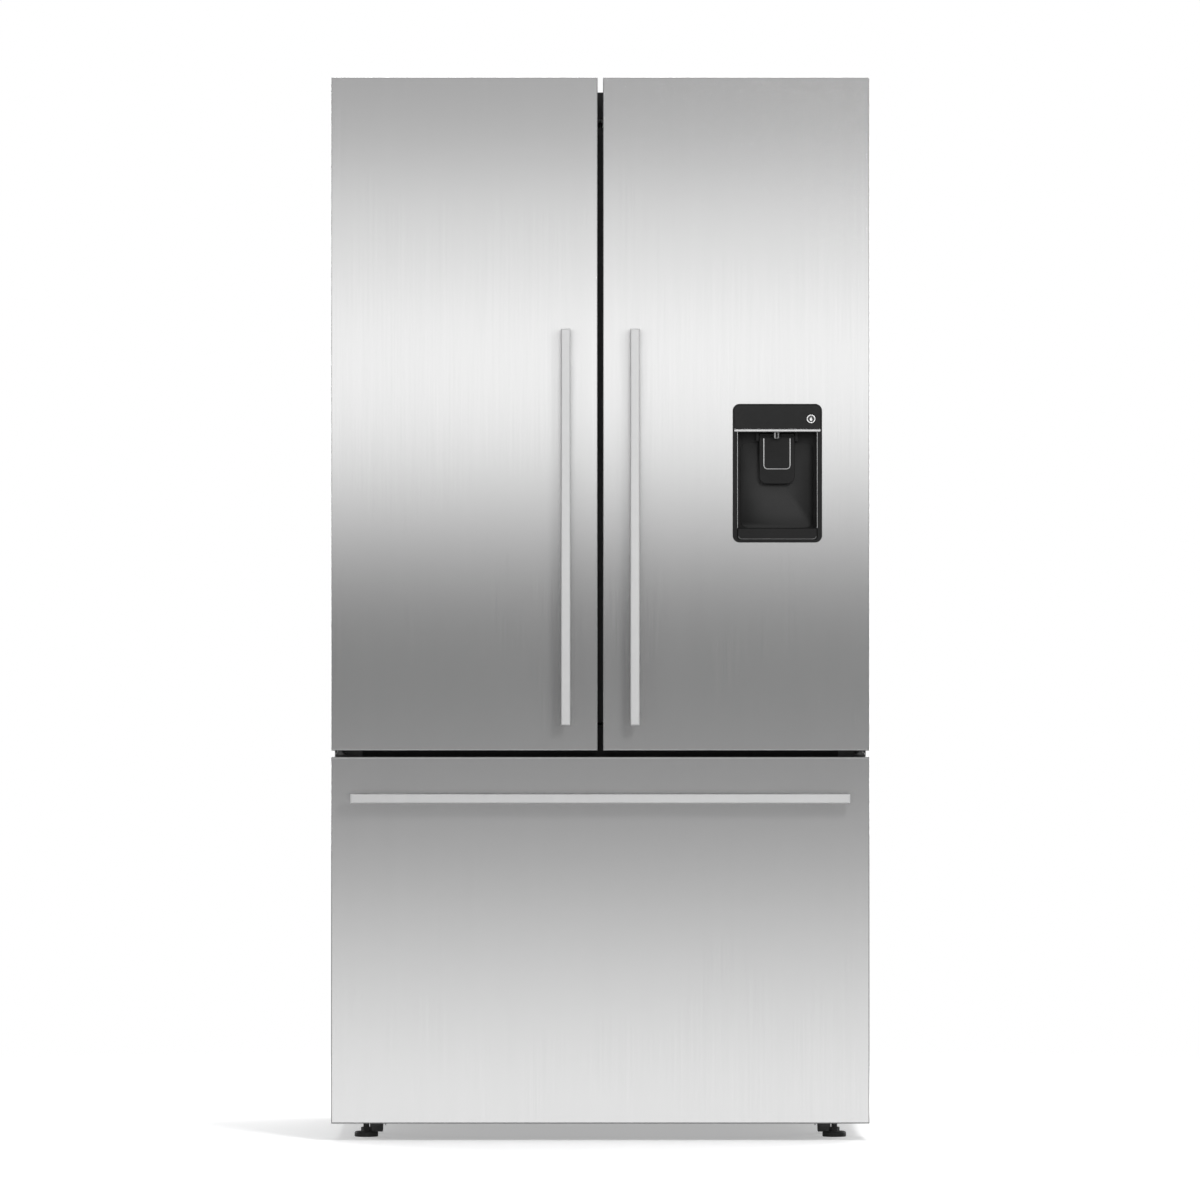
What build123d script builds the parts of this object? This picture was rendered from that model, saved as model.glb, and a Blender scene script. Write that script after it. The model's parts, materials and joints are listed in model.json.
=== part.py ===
from build123d import *
from math import cos, radians, sin
import os

# A french door refrigerator, in millimetres: two doors with a folding centre mullion above one
# freezer drawer. +Z is up, the doors face -Y, and the origin is on the floor under the middle of
# the whole appliance, handles included. Left and right are as seen by someone facing the doors.

os.makedirs("parts", exist_ok=True)

# ---- Overall sizes -------------------------------------------------------------------------
overall_width = 900.0
overall_height = 1780.0
body_depth = 695.0  # from the door face to the back panel
handle_reach = 46.0  # from the door face to the handle's front
floor_clearance = 30.0  # under the drawer front
cabinet_base = 50.0  # underside of the cabinet above the floor
roof_drop = 21.0  # the cabinet's roof is this far below the door tops
cabinet_inset = 3.5  # the doors overhang the cabinet by this much on each side

# ---- Doors and drawer ----------------------------------------------------------------------
door_thickness = 73.0
bin_depth = 110.0  # clear bins on the doors' inner sides
bin_to_shelf = 23.5  # front of the shelves behind the bins
drawer_height = 613.0
door_gap = 9.0  # between the two doors
drawer_gap = 10.5  # between the drawer and the doors
gasket_gap = 12.0  # between a door's back and the cabinet
skin_sheet = 1.0
bend_radius = 2.0
liner_plate = 3.0
fold_depth = 14.0  # short folds of the skin at its top and bottom
cap_height = 30.0
cap_wall = 3.0
cap_boss = 36.0  # solid end of a cap round the hinge pin
dike_band = 30.0
dike_depth = 40.0
dike_wall = 2.0
dike_radius = 20.0
dike_margin = 12.0  # dike to the edge of the room behind it
centre_dike = 48.0  # dike to the middle of the appliance
gasket_width = 16.0
gasket_margin = 9.0  # gasket to the edge of the room
gasket_centre = 3.5  # gasket to the door's free edge
gasket_air = 0.3  # left before the cabinet, so that the seal only just touches
seal_groove = 3.0
dispenser_flange = 4.0  # dispenser's rim over the edge of its opening
skin_air = 0.5  # between the dispenser's tub and the skin

# ---- Cabinet -------------------------------------------------------------------------------
shell_sheet = 1.2
frame_depth = 20.0
side_insulation = 41.3
roof_insulation = 40.8
back_insulation = 60.3
room_radius = 20.0
liner_wall = 2.0
mid_rail = 90.0
base_sill = 50.0  # from the cabinet's underside to the freezer's floor
machine_depth = 170.0
machine_height = 240.0
machine_insulation = 40.0

# ---- Hinges --------------------------------------------------------------------------------
hinge_side_inset = 15.0  # pin axis to the door's outer edge
hinge_face_inset = 20.0  # pin axis to the door face
hinge_pin_radius = 5.0
pin_clearance = 0.05
hinge_arm = 16.0
hinge_plate = 3.0
hinge_lift = 6.0  # top hinge plate above the roof
notch_inner = 11.0  # notch in the door top, past the pin towards the middle
notch_face = 4.5  # what stays of the door in front of the notch
hinge_room = 3.0  # air under the top hinge plate

# ---- Handles -------------------------------------------------------------------------------
handle_width = 15.6
handle_thick = 16.0
handle_length = 661.0
handle_low = 43.0  # above the door's bottom edge
handle_from_edge = 45.5  # handle's inner edge to the door's free edge
drawer_handle_length = 833.0
drawer_handle_drop = 69.0  # handle's middle below the drawer's top edge
handle_post = 30.0
handle_end = 94.0
handle_edge = 2.5

# ---- Dispenser, in the right door ----------------------------------------------------------
dispenser_inset = 291.5  # its middle to the door's free edge
dispenser_rise = 463.9  # its middle above the door's bottom edge
dispenser_width = 149.3
dispenser_height = 231.7
dispenser_radius = 11.5
dispenser_rim = 7.4
dispenser_proud = 2.5
dispenser_depth = 46.0
tub_wall = 2.5
fascia_height = 41.8
fascia_thick = 2.2
strip_height = 5.4
tray_height = 19.9
paddle_width = 59.4
paddle_height = 84.0
paddle_thick = 4.0
paddle_back = 14.0  # paddle to the back of the niche
spout_radius = 7.0
spout_length = 10.0
button_radius = 7.4
button_from_edge = 18.4  # button's middle to the dispenser's outer edge
slack = 0.4  # air round a moving or removable small piece

# ---- Places worked out from the sizes ------------------------------------------------------
x_edge = overall_width / 2
y_back = (body_depth + handle_reach) / 2
y_handle = -y_back
y_face = y_back - body_depth
y_door_back = y_face + door_thickness
y_skin_back = y_door_back - liner_plate
y_frame = y_door_back + gasket_gap
y_shell = y_frame + frame_depth
x_cabinet = x_edge - cabinet_inset
x_liner = x_cabinet - shell_sheet - side_insulation
x_room = x_liner - liner_wall
y_liner = y_back - shell_sheet - back_insulation
y_room = y_liner - liner_wall
z_roof = overall_height - roof_drop
z_drawer_low = floor_clearance
z_drawer_high = z_drawer_low + drawer_height
z_door_low = z_drawer_high + drawer_gap
z_door_high = overall_height
z_gap = (z_drawer_high + z_door_low) / 2
z_freezer_low = cabinet_base + base_sill
z_freezer_high = z_gap - mid_rail / 2
z_fridge_low = z_gap + mid_rail / 2
z_fridge_high = z_roof - shell_sheet - roof_insulation - liner_wall
y_machine = y_back - machine_depth
z_machine = cabinet_base + machine_height
y_step = y_machine - machine_insulation
z_step = z_machine + machine_insulation
x_pin = x_edge - hinge_side_inset
y_pin = y_face + hinge_face_inset
x_free = door_gap / 2
dispenser_x = x_free + dispenser_inset
dispenser_z = z_door_low + dispenser_rise


# ---- Helpers -------------------------------------------------------------------------------
def block(x_low, x_high, y_low, y_high, z_low, z_high, mode=Mode.ADD):
    """A box between its limits, in the part that is being built."""
    middle = ((x_low + x_high) / 2, (y_low + y_high) / 2, (z_low + z_high) / 2)
    with Locations(middle):
        Box(x_high - x_low, y_high - y_low, z_high - z_low, mode=mode)


def pane(x_low, x_high, z_low, z_high, radius=0.0, mode=Mode.ADD):
    """A rectangle between its limits, in the sketch that is being drawn."""
    with Locations(((x_low + x_high) / 2, (z_low + z_high) / 2)):
        if radius:
            RectangleRounded(x_high - x_low, z_high - z_low, radius, mode=mode)
        else:
            Rectangle(x_high - x_low, z_high - z_low, mode=mode)


def upright(y):
    """The upright plane at depth y: its sketch x is X, its sketch y is Z, and it faces -Y."""
    return Plane.XZ.offset(-y)


def rod(x, y, z_low, z_high, radius, mode=Mode.ADD):
    """An upright cylinder, in the part that is being built."""
    with Locations((x, y, (z_low + z_high) / 2)):
        Cylinder(radius, z_high - z_low, mode=mode)


def cross_rod(x_low, x_high, y, z, radius, mode=Mode.ADD):
    """A cylinder along X, in the part that is being built."""
    with Locations(((x_low + x_high) / 2, y, z)):
        Cylinder(radius, x_high - x_low, rotation=(0, 90, 0), mode=mode)


def deep_rod(x, y_low, y_high, z, radius, mode=Mode.ADD):
    """A cylinder along Y, in the part that is being built."""
    with Locations((x, (y_low + y_high) / 2, z)):
        Cylinder(radius, y_high - y_low, rotation=(90, 0, 0), mode=mode)


def sided(side, near, far):
    """X limits, low first, of something between near and far on the left (-1) or right (1)."""
    return min(side * near, side * far), max(side * near, side * far)


def save(part, name):
    """Label a finished piece and write it."""
    part.label = name
    export_step(part, f"parts/{name}.step")
    print(name, "volume", round(part.volume))


# ---- Cabinet shell, frame and panels -------------------------------------------------------
with BuildPart() as cabinet_shell:
    for side in (-1, 1):
        x_low, x_high = sided(side, x_cabinet - shell_sheet, x_cabinet)
        block(x_low, x_high, y_shell, y_back - shell_sheet, cabinet_base, z_roof)
    x_top = x_cabinet - shell_sheet
    block(-x_top, x_top, y_shell, y_back - shell_sheet, z_roof - shell_sheet, z_roof)
    # The side panels fold over the roof's edges on a real cabinet; here they meet edge to edge.
save(cabinet_shell.part, "cabinet_shell")

vent_columns = 6
vent_rows = 9
vent_spacing = 100.0
slot_pitch = 16.0
slot_width = 60.0
slot_height = 5.0
gland_x = -x_cabinet + 196.5
gland_z = cabinet_base + 60.0
gland_radius = 9.0
gland_bore = 4.0
gland_length = 12.0
valve_x = -x_cabinet + 56.5
valve_z = cabinet_base + 70.0
valve_half = 26.0
valve_air = 2.0
inlet_radius = 6.0
inlet_bore = 3.2
inlet_length = 16.0
cover_edge = 4.0
vent_inset = 96.5  # first column of vents to the cabinet's side
vent_rise = 60.0  # lowest row of vents above the cabinet's underside
rib_places = (-300.0, -100.0, 100.0, 300.0)
rib_half = 12.0
rib_margin = 120.0

with BuildPart() as rear_panels:
    block(-x_cabinet, x_cabinet, y_back - shell_sheet, y_back, z_machine, z_roof)
    for x in rib_places:
        # Stiffening ribs are pressed into the panel towards the foam.
        block(x - rib_half, x + rib_half, y_back - 2 * shell_sheet, y_back - shell_sheet,
              z_machine + rib_margin, z_roof - rib_margin)
    # The machine room's cover is a separate vented sheet below the back panel.
    cover_low = cabinet_base + cover_edge
    cover_high = z_machine - 1.0
    x_cover = x_cabinet - cover_edge
    block(-x_cover, x_cover, y_back - shell_sheet, y_back, cover_low, cover_high)
    with BuildSketch(upright(y_back)):
        for column in range(vent_columns):
            x = x_cabinet - vent_inset - column * vent_spacing
            for row in range(vent_rows):
                z = cabinet_base + vent_rise + row * slot_pitch
                with Locations((x, z)):
                    SlotOverall(slot_width, slot_height)
        with Locations((gland_x, gland_z)):
            Circle(gland_radius)
        with Locations((valve_x, valve_z)):
            Rectangle(2 * (valve_half + valve_air), 2 * (valve_half + valve_air))
    extrude(amount=shell_sheet, mode=Mode.SUBTRACT)
save(rear_panels.part, "rear_panels")

with BuildPart() as base_pan:
    x_pan = x_cabinet - shell_sheet
    block(-x_pan, x_pan, y_shell, y_back - shell_sheet, cabinet_base, cabinet_base + shell_sheet)
    # The bulkhead is bent up from the pan and back over the machine room.
    block(-x_pan, x_pan, y_machine - shell_sheet, y_machine, cabinet_base, z_machine + shell_sheet)
    block(-x_pan, x_pan, y_machine, y_back - shell_sheet, z_machine, z_machine + shell_sheet)
save(base_pan.part, "base_pan")

with BuildPart() as front_frame:
    block(-x_cabinet, x_cabinet, y_frame, y_shell, cabinet_base, z_roof)
    fillet(front_frame.edges().filter_by(Axis.Z).group_by(Axis.Y)[0], bend_radius)
    with BuildSketch(upright(y_frame)):
        pane(-x_room, x_room, z_fridge_low, z_fridge_high)
        pane(-x_room, x_room, z_freezer_low, z_freezer_high)
    extrude(amount=-frame_depth, mode=Mode.SUBTRACT)
save(front_frame.part, "front_frame")


# ---- Rooms: liners and the foam round them -------------------------------------------------
def fridge_shape(grow, y_front, mode=Mode.ADD):
    """The upper room with rounded rear corners, grown by a wall, in the part being built."""
    with BuildSketch(Plane.XY.offset(z_fridge_low - grow)) as plan:
        pane(-x_room - grow, x_room + grow, y_front, y_room + grow)
        fillet(plan.vertices().group_by(Axis.Y)[-1], room_radius + grow)
    extrude(plan.sketch, amount=z_fridge_high - z_fridge_low + 2 * grow, mode=mode)


def freezer_shape(grow, y_front, mode=Mode.ADD):
    """The lower room, stepped forward over the machine room, grown by a wall."""
    half = x_room + grow
    with BuildSketch(Plane.YZ.offset(-half)) as profile:
        with BuildLine():
            Polyline(
                (y_front, z_freezer_low - grow),
                (y_step - liner_wall + grow, z_freezer_low - grow),
                (y_step - liner_wall + grow, z_step + liner_wall - grow),
                (y_room + grow, z_step + liner_wall - grow),
                (y_room + grow, z_freezer_high + grow),
                (y_front, z_freezer_high + grow),
                close=True,
            )
        make_face()
    extrude(profile.sketch, amount=2 * half, mode=mode)


crisper_height = 200.0
shelf_thick = 4.0
shelf_rim = 12.0
crisper_lid_z = z_fridge_low + crisper_height + 16.0
shelf_pitch = (z_fridge_high - crisper_lid_z) / 3
shelf_levels = (crisper_lid_z + shelf_pitch, crisper_lid_z + 2 * shelf_pitch)
shelf_front = y_door_back + bin_depth + bin_to_shelf
track_depth = 7.0
duct_depth = 14.0
duct_wall = 2.5
y_duct = y_room - duct_depth
y_track = y_duct - track_depth
shelf_back = y_track - 1.0
shelf_side_air = 6.0
flipper_half = 28.0
flipper_thick = 18.0
flipper_x = -34.0
flipper_y = y_frame + flipper_thick / 2
flipper_air = 15.0
guide_height = 13.0
guide_pin_radius = 3.0
guide_slot = 8.0
z_flipper_low = z_fridge_low + 6.0
z_flipper_high = z_fridge_high - flipper_air
guide_near = 16.0  # ceiling guide, from the mullion's pivot outwards
guide_reach = 54.0  # and inwards and backwards
guide_web = 3.0
ledge_depth = 5.0
ledge_height = 6.0
ledge_margin = 20.0

with BuildPart() as fridge_liner:
    fridge_shape(liner_wall, y_shell)
    fridge_shape(0.0, y_shell, Mode.SUBTRACT)
    # Moulded ledges carry the glass lid over the crispers and guide their sides.
    for side in (-1, 1):
        x_low, x_high = sided(side, x_room - ledge_depth, x_room)
        block(x_low, x_high, shelf_front + ledge_margin, shelf_back - ledge_margin,
              crisper_lid_z - ledge_height, crisper_lid_z)
    # The guide on the ceiling takes the pin on top of the folding mullion.
    block(flipper_x - guide_near, flipper_x + guide_reach, y_shell, y_shell + guide_reach,
          z_fridge_high - guide_height, z_fridge_high)
    with BuildSketch(Plane.XY.offset(z_fridge_high - guide_height)):
        with Locations((flipper_x, flipper_y)):
            Circle(-flipper_x + guide_slot / 2)
            Circle(-flipper_x - guide_slot / 2, mode=Mode.SUBTRACT)
    extrude(amount=guide_height - guide_web, mode=Mode.SUBTRACT)
save(fridge_liner.part, "fridge_liner")

with BuildPart() as freezer_liner:
    freezer_shape(liner_wall, y_shell)
    freezer_shape(0.0, y_shell, Mode.SUBTRACT)
save(freezer_liner.part, "freezer_liner")

with BuildPart() as cabinet_foam:
    x_foam = x_cabinet - shell_sheet
    block(-x_foam, x_foam, y_shell, y_back - 2 * shell_sheet,
          cabinet_base + shell_sheet, z_roof - shell_sheet)
    fridge_shape(liner_wall, y_shell, Mode.SUBTRACT)
    freezer_shape(liner_wall, y_shell, Mode.SUBTRACT)
    block(-x_foam, x_foam, y_machine - shell_sheet, y_back, cabinet_base, z_machine + shell_sheet,
          Mode.SUBTRACT)
save(cabinet_foam.part, "cabinet_foam")

# ---- Inside the upper room -----------------------------------------------------------------
shelf_centre_air = 8.0
shelf_spans = (
    (-x_room + shelf_side_air, -shelf_centre_air),
    (shelf_centre_air, x_room - shelf_side_air),
)
bracket_inset = 11.0
bracket_thick = 3.0
bracket_height = 34.0
bracket_tip = 10.0
bracket_root = 60.0
bracket_setback = 30.0  # arm's tip behind the shelf's front
track_width = 14.0
track_low = crisper_lid_z + 40.0
track_high = z_fridge_high - 60.0
track_slots = 15
hook_half = 2.5
hook_height = 14.0
hook_margin = 24.0
bracket_places = [x for low, high in shelf_spans for x in (low + bracket_inset, high - bracket_inset)]

cold_depth = 78.0  # from the freezer's back panel to the liner behind it
y_cold = y_room - cold_depth
cold_side_air = 12.0
cold_low = z_step + liner_wall + 4
cold_high = z_freezer_high - 2
cold_fan_z = z_freezer_high - 68.0
cold_fan_radius = 48.0
duct_low = crisper_lid_z + 12
duct_high = z_fridge_high - 2
outlet_places = (-260, -130, 130, 260)
outlet_levels = (shelf_levels[0] - 90, shelf_levels[1] - 90, shelf_levels[1] + 130)
outlet_pitch = 14.0
outlet_width = 70.0
outlet_height = 6.0
grille_width = 90.0
grille_pitch = 12.0
return_places = (-280, -180, 180, 280)
return_rise = 44.0

with BuildPart() as duct_panels:
    # Both panels are pans, open at the back, that lead the cold air from the evaporator.
    x_duct = x_room - room_radius
    block(-x_duct, x_duct, y_duct, y_room, duct_low, duct_high)
    block(-x_duct + duct_wall, x_duct - duct_wall, y_duct + duct_wall, y_room,
          duct_low + duct_wall, duct_high - duct_wall, Mode.SUBTRACT)
    with BuildSketch(upright(y_duct)):
        for x in outlet_places:
            for level in outlet_levels:
                for row in range(3):
                    with Locations((x, level + row * outlet_pitch)):
                        SlotOverall(outlet_width, outlet_height)
    extrude(amount=-duct_wall, mode=Mode.SUBTRACT)
    x_cold = x_room - cold_side_air
    block(-x_cold, x_cold, y_cold, y_cold + duct_depth, cold_low, cold_high)
    block(-x_cold + duct_wall, x_cold - duct_wall, y_cold + duct_wall, y_cold + duct_depth,
          cold_low + duct_wall, cold_high - duct_wall, Mode.SUBTRACT)
    with BuildSketch(upright(y_cold)):
        for row in range(-3, 4):
            with Locations((0, cold_fan_z + row * grille_pitch)):
                SlotOverall(grille_width - outlet_height * abs(row), outlet_height)
        for x in return_places:
            for row in range(3):
                with Locations((x, cold_low + return_rise + row * outlet_pitch)):
                    SlotOverall(outlet_width, outlet_height)
    extrude(amount=-duct_wall, mode=Mode.SUBTRACT)
save(duct_panels.part, "duct_panels")

with BuildPart() as shelf_supports:
    # Slotted tracks on the back wall, and a pair of cantilever arms hooked in for each shelf.
    for x in bracket_places:
        block(x - track_width / 2, x + track_width / 2, y_track, y_duct, track_low, track_high)
        for step in range(track_slots):
            z = track_low + hook_margin
            z += step * (track_high - track_low - 2 * hook_margin) / (track_slots - 1)
            block(x - hook_half, x + hook_half, y_track, y_duct, z - hook_height / 2, z + hook_height / 2,
                  Mode.SUBTRACT)
    for x in bracket_places:
        for level in shelf_levels:
            top = level - 1.0
            with BuildSketch(Plane.YZ.offset(x - bracket_thick / 2)):
                with BuildLine():
                    Polyline(
                        (y_track, top),
                        (shelf_front + bracket_setback, top),
                        (shelf_front + bracket_setback, top - bracket_tip),
                        (y_track - bracket_root, top - bracket_height),
                        (y_track, top - bracket_height),
                        close=True,
                    )
                make_face()
            extrude(amount=bracket_thick)
save(shelf_supports.part, "shelf_supports")

pane_edge = 3.0  # pane's edge inside its frame
rim_wall = 4.5
window_side = 12.0
window_end = 14.0
divider_half = 3.0
divider_margin = 30.0
glass_spans = [(low, high, level) for level in shelf_levels for low, high in shelf_spans]
glass_spans.append((-x_room + 2, x_room - 2, crisper_lid_z + 1))


def glass_pane(low, high, level, mode=Mode.ADD):
    """One pane of glass, or the rebate that it sits in, in the part being built."""
    block(low + pane_edge, high - pane_edge, shelf_front + pane_edge, shelf_back - pane_edge,
          level + 2, level + 2 + shelf_thick, mode)


with BuildPart() as shelf_glass:
    for low, high, level in glass_spans:
        glass_pane(low, high, level)
save(shelf_glass.part, "shelf_glass")

with BuildPart() as shelf_trim:
    # Each pane sits in a moulded frame; the lowest frame also carries the divider of the crispers.
    for low, high, level in glass_spans:
        block(low, high, shelf_front, shelf_back, level, level + shelf_rim)
        glass_pane(low, high, level, Mode.SUBTRACT)
        block(low + window_side, high - window_side, shelf_front + window_end, shelf_back - window_end,
              level - 1, level + 2, Mode.SUBTRACT)
        block(low + rim_wall, high - rim_wall, shelf_front + rim_wall, shelf_back - rim_wall,
              level + 2, level + shelf_rim, Mode.SUBTRACT)
    block(-divider_half, divider_half, shelf_front + divider_margin, shelf_back - divider_margin,
          z_fridge_low, crisper_lid_z + 1)
save(shelf_trim.part, "shelf_trim")

lamp_half = 160.0
lamp_depth = 90.0
lamp_thick = 9.0
lamp_y = (shelf_front + shelf_back) / 2 - 60
with BuildPart() as fridge_lamp:
    with BuildSketch(Plane.XY.offset(z_fridge_high - lamp_thick)):
        pane(-lamp_half, lamp_half, lamp_y - lamp_depth / 2, lamp_y + lamp_depth / 2, 12)
    extrude(amount=lamp_thick)
    fillet(fridge_lamp.faces().sort_by(Axis.Z)[0].edges(), 4)
save(fridge_lamp.part, "fridge_lamp")

crisper_front = shelf_front + 38.0
crisper_back = shelf_back - 12
crisper_low = z_fridge_low + 8
crisper_wall = 2.5
crisper_side_air = 3.0
crisper_radius = 10.0
pull_margin = 20.0
pull_reach = 14.0
pull_drop = 22.0
pull_lip = 3.0
for side, name in ((-1, "crisper_left"), (1, "crisper_right")):
    low, high = sided(side, divider_half + crisper_side_air, x_room - ledge_depth - crisper_side_air)
    with BuildPart() as crisper:
        block(low, high, crisper_front, crisper_back, crisper_low, crisper_low + crisper_height)
        fillet(crisper.edges().filter_by(Axis.Z), crisper_radius)
        fillet(crisper.faces().sort_by(Axis.Z)[0].edges(), crisper_radius - 2)
        with BuildSketch(Plane.XY.offset(crisper_low + crisper_wall)):
            pane(low + crisper_wall, high - crisper_wall, crisper_front + crisper_wall,
                 crisper_back - crisper_wall, crisper_radius - crisper_wall)
        extrude(amount=crisper_height, mode=Mode.SUBTRACT)
        # A turned-over lip along the front is the pull.
        pull_z = crisper_low + crisper_height
        low, high = low + pull_margin, high - pull_margin
        block(low, high, crisper_front - pull_reach, crisper_front + 1, pull_z - 4, pull_z)
        block(low, high, crisper_front - pull_reach, crisper_front - pull_reach + pull_lip,
              pull_z - pull_drop, pull_z)
    save(crisper.part, name)

# ---- Cooling circuit -----------------------------------------------------------------------
fin_sheet = 1.0
tube_reach = 12.0  # tubes past the outermost fins
end_plate = 2.0


def fin_pack(x_low, x_high, y_low, y_high, z_low, z_high, fins, rows, columns, tube_radius):
    """A finned coil: thin upright fins on a grid of tubes, with end plates."""
    pitch = (x_high - x_low - fin_sheet) / (fins - 1)
    for fin in range(fins):
        x = x_low + fin * pitch
        block(x, x + fin_sheet, y_low, y_high, z_low, z_high)
    for row in range(rows):
        z = z_low + (row + 0.5) * (z_high - z_low) / rows
        for column in range(columns):
            y = y_low + (column + 0.5) * (y_high - y_low) / columns
            cross_rod(x_low - tube_reach, x_high + tube_reach, y, z, tube_radius)
    for end in (x_low - tube_reach + 1, x_high + tube_reach - 1 - end_plate):
        block(end, end + end_plate, y_low, y_high, z_low, z_high)


compressor_x = -x_cabinet + 146.5
compressor_y = y_machine + machine_depth / 2
compressor_radius = 66.0
compressor_height = 160.0
compressor_foot = (66.0, 48.0)  # its rubber feet from its middle
z_compressor = cabinet_base + shell_sheet + 16
with BuildPart() as compressor:
    rod(compressor_x, compressor_y, z_compressor, z_compressor + compressor_height, compressor_radius)
    fillet(compressor.edges().filter_by(GeomType.CIRCLE), 30)
    rod(compressor_x, compressor_y, z_compressor + 78, z_compressor + 82, compressor_radius + 4)
    block(compressor_x - 80, compressor_x + 80, compressor_y - 60, compressor_y + 60,
          z_compressor - 4, z_compressor + 4)
    for way_x in (-1, 1):
        for way_y in (-1, 1):
            rod(compressor_x + way_x * compressor_foot[0], compressor_y + way_y * compressor_foot[1],
                cabinet_base + shell_sheet, z_compressor - 2, 9)
    block(compressor_x + 50, compressor_x + 82, compressor_y - 26, compressor_y + 26,
          z_compressor + 30, z_compressor + 96)
    rod(compressor_x - 20, compressor_y, z_compressor + 150, z_compressor + 185, 5)
    rod(compressor_x + 16, compressor_y, z_compressor + 150, z_compressor + 178, 4)
save(compressor.part, "compressor")

evaporator_half = 270.0
condenser_low_x = -60.0
condenser_high_x = 170.0
condenser_air = 20.0
condenser_lift = 22.0
coil_tube = 4.0
with BuildPart() as cooling_coils:
    # The evaporator behind the freezer's back panel, and the condenser in the machine room.
    fin_pack(-evaporator_half, evaporator_half, y_cold + 20, y_room - 6, z_step + 12,
             cold_fan_z - cold_fan_radius - 22, 36, 5, 2, coil_tube)
    y_near, y_far = y_machine + condenser_air, y_back - condenser_air
    z_lifted = cabinet_base + condenser_lift
    fin_pack(condenser_low_x, condenser_high_x, y_near, y_far, z_lifted, z_machine - 30,
             28, 5, 4, coil_tube)
    block(condenser_low_x - tube_reach, condenser_high_x + tube_reach, y_near, y_far,
          cabinet_base + shell_sheet, z_lifted)
save(cooling_coils.part, "cooling_coils")


blade_pitch = 32.0
blade_thick = 1.8


def fan(x, y, z, axis_rotation, radius, blades, hub_radius, width):
    """A rotor about its own axis: hub and pitched blades, in the part being built."""
    with Locations(Location((x, y, z), axis_rotation)):
        Cylinder(hub_radius, width)
        for blade in range(blades):
            turn = blade * 360 / blades
            reach = (hub_radius - 3 + radius) / 2
            place = Location((reach * cos(radians(turn)), reach * sin(radians(turn)), 0), (0, 0, turn))
            with Locations(place * Location((0, 0, 0), (blade_pitch, 0, 0))):
                Box(radius - hub_radius + 3, width * 1.3, blade_thick)


fan_width = 22.0
fan_blades = 5
fan_shaft = 2.5
shaft_clearance = 0.1
condenser_fan_x = condenser_high_x + 62.0
condenser_fan_z = cabinet_base + 112
condenser_fan_radius = 62.0
with BuildPart() as condenser_fan:
    fan(condenser_fan_x, compressor_y, condenser_fan_z, (0, 90, 0), condenser_fan_radius, fan_blades, 17,
        fan_width)
    cross_rod(condenser_fan_x + 10, condenser_fan_x + 30, compressor_y, condenser_fan_z, fan_shaft)
save(condenser_fan.part, "condenser_fan")

evaporator_fan_y = y_cold + 34
with BuildPart() as evaporator_fan:
    fan(0, evaporator_fan_y, cold_fan_z, (90, 0, 0), cold_fan_radius, fan_blades, 14, fan_width)
    deep_rod(0, evaporator_fan_y + 10, evaporator_fan_y + 26, cold_fan_z, fan_shaft)
save(evaporator_fan.part, "evaporator_fan")

with BuildPart() as fan_motors:
    # Each fan has a motor can on a bracket, with a bore that the fan's shaft turns in.
    motor_x = condenser_fan_x + 24
    shaft_bore = fan_shaft + shaft_clearance
    cross_rod(motor_x, motor_x + 34, compressor_y, condenser_fan_z, 22)
    block(motor_x + 8, motor_x + 26, compressor_y - 14, compressor_y + 14,
          cabinet_base + shell_sheet, condenser_fan_z)
    cross_rod(motor_x, motor_x + 12, compressor_y, condenser_fan_z, shaft_bore, Mode.SUBTRACT)
    motor_y = evaporator_fan_y + 18
    deep_rod(0, motor_y, motor_y + 16, cold_fan_z, 20)
    block(-70, 70, motor_y + 10, motor_y + 14, cold_fan_z - 8, cold_fan_z + 8)
    deep_rod(0, motor_y, motor_y + 10, cold_fan_z, shaft_bore, Mode.SUBTRACT)
save(fan_motors.part, "fan_motors")

with BuildPart() as rear_fittings:
    # Water inlet valve: a body behind the cover and a nozzle flush with the back.
    block(valve_x - valve_half, valve_x + valve_half, y_back - 60, y_back - inlet_length,
          valve_z - valve_half, valve_z + valve_half)
    fillet(rear_fittings.edges().filter_by(Axis.Y), 4)
    deep_rod(valve_x, y_back - 20, y_back, valve_z, inlet_radius)
    deep_rod(valve_x, y_back - inlet_length, y_back, valve_z, inlet_bore, Mode.SUBTRACT)
    # Gland that the mains lead would leave by.
    deep_rod(gland_x, y_back - gland_length, y_back, gland_z, gland_radius)
    deep_rod(gland_x, y_back - gland_length, y_back - shell_sheet, gland_z, gland_radius + 3)
    deep_rod(gland_x, y_back - gland_length, y_back, gland_z, gland_bore, Mode.SUBTRACT)
save(rear_fittings.part, "rear_fittings")

# ---- Feet and rollers ----------------------------------------------------------------------
foot_x = x_cabinet - 51.5
foot_y = y_shell + 35
foot_pad_radius = 20.0
foot_pad_height = 9.0
foot_nut_height = 7.0
foot_boss_radius = 11.0
foot_boss_height = 22.0
foot_stud_radius = 5.0
stud_clearance = 0.1
roller_radius = 20.0
roller_width = 22.0
roller_x = x_cabinet - 66.5
front_roller_y = foot_y + 90
rear_roller_y = y_back - 60
axle_radius = 4.0
front_roller_lift = 2.0  # the feet take the front rollers off the floor

for name, side in (("foot_left", -1), ("foot_right", 1)):
    with BuildPart() as foot:
        rod(side * foot_x, foot_y, 0, foot_pad_height, foot_pad_radius)
        fillet(foot.faces().sort_by(Axis.Z)[-1].edges(), 3)
        rod(side * foot_x, foot_y, foot_pad_height - 1, cabinet_base - 2, foot_stud_radius)
        with BuildSketch(Plane.XY.offset(foot_pad_height)):
            with Locations((side * foot_x, foot_y)):
                RegularPolygon(9, 6)
        extrude(amount=foot_nut_height)
    save(foot.part, name)

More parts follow.
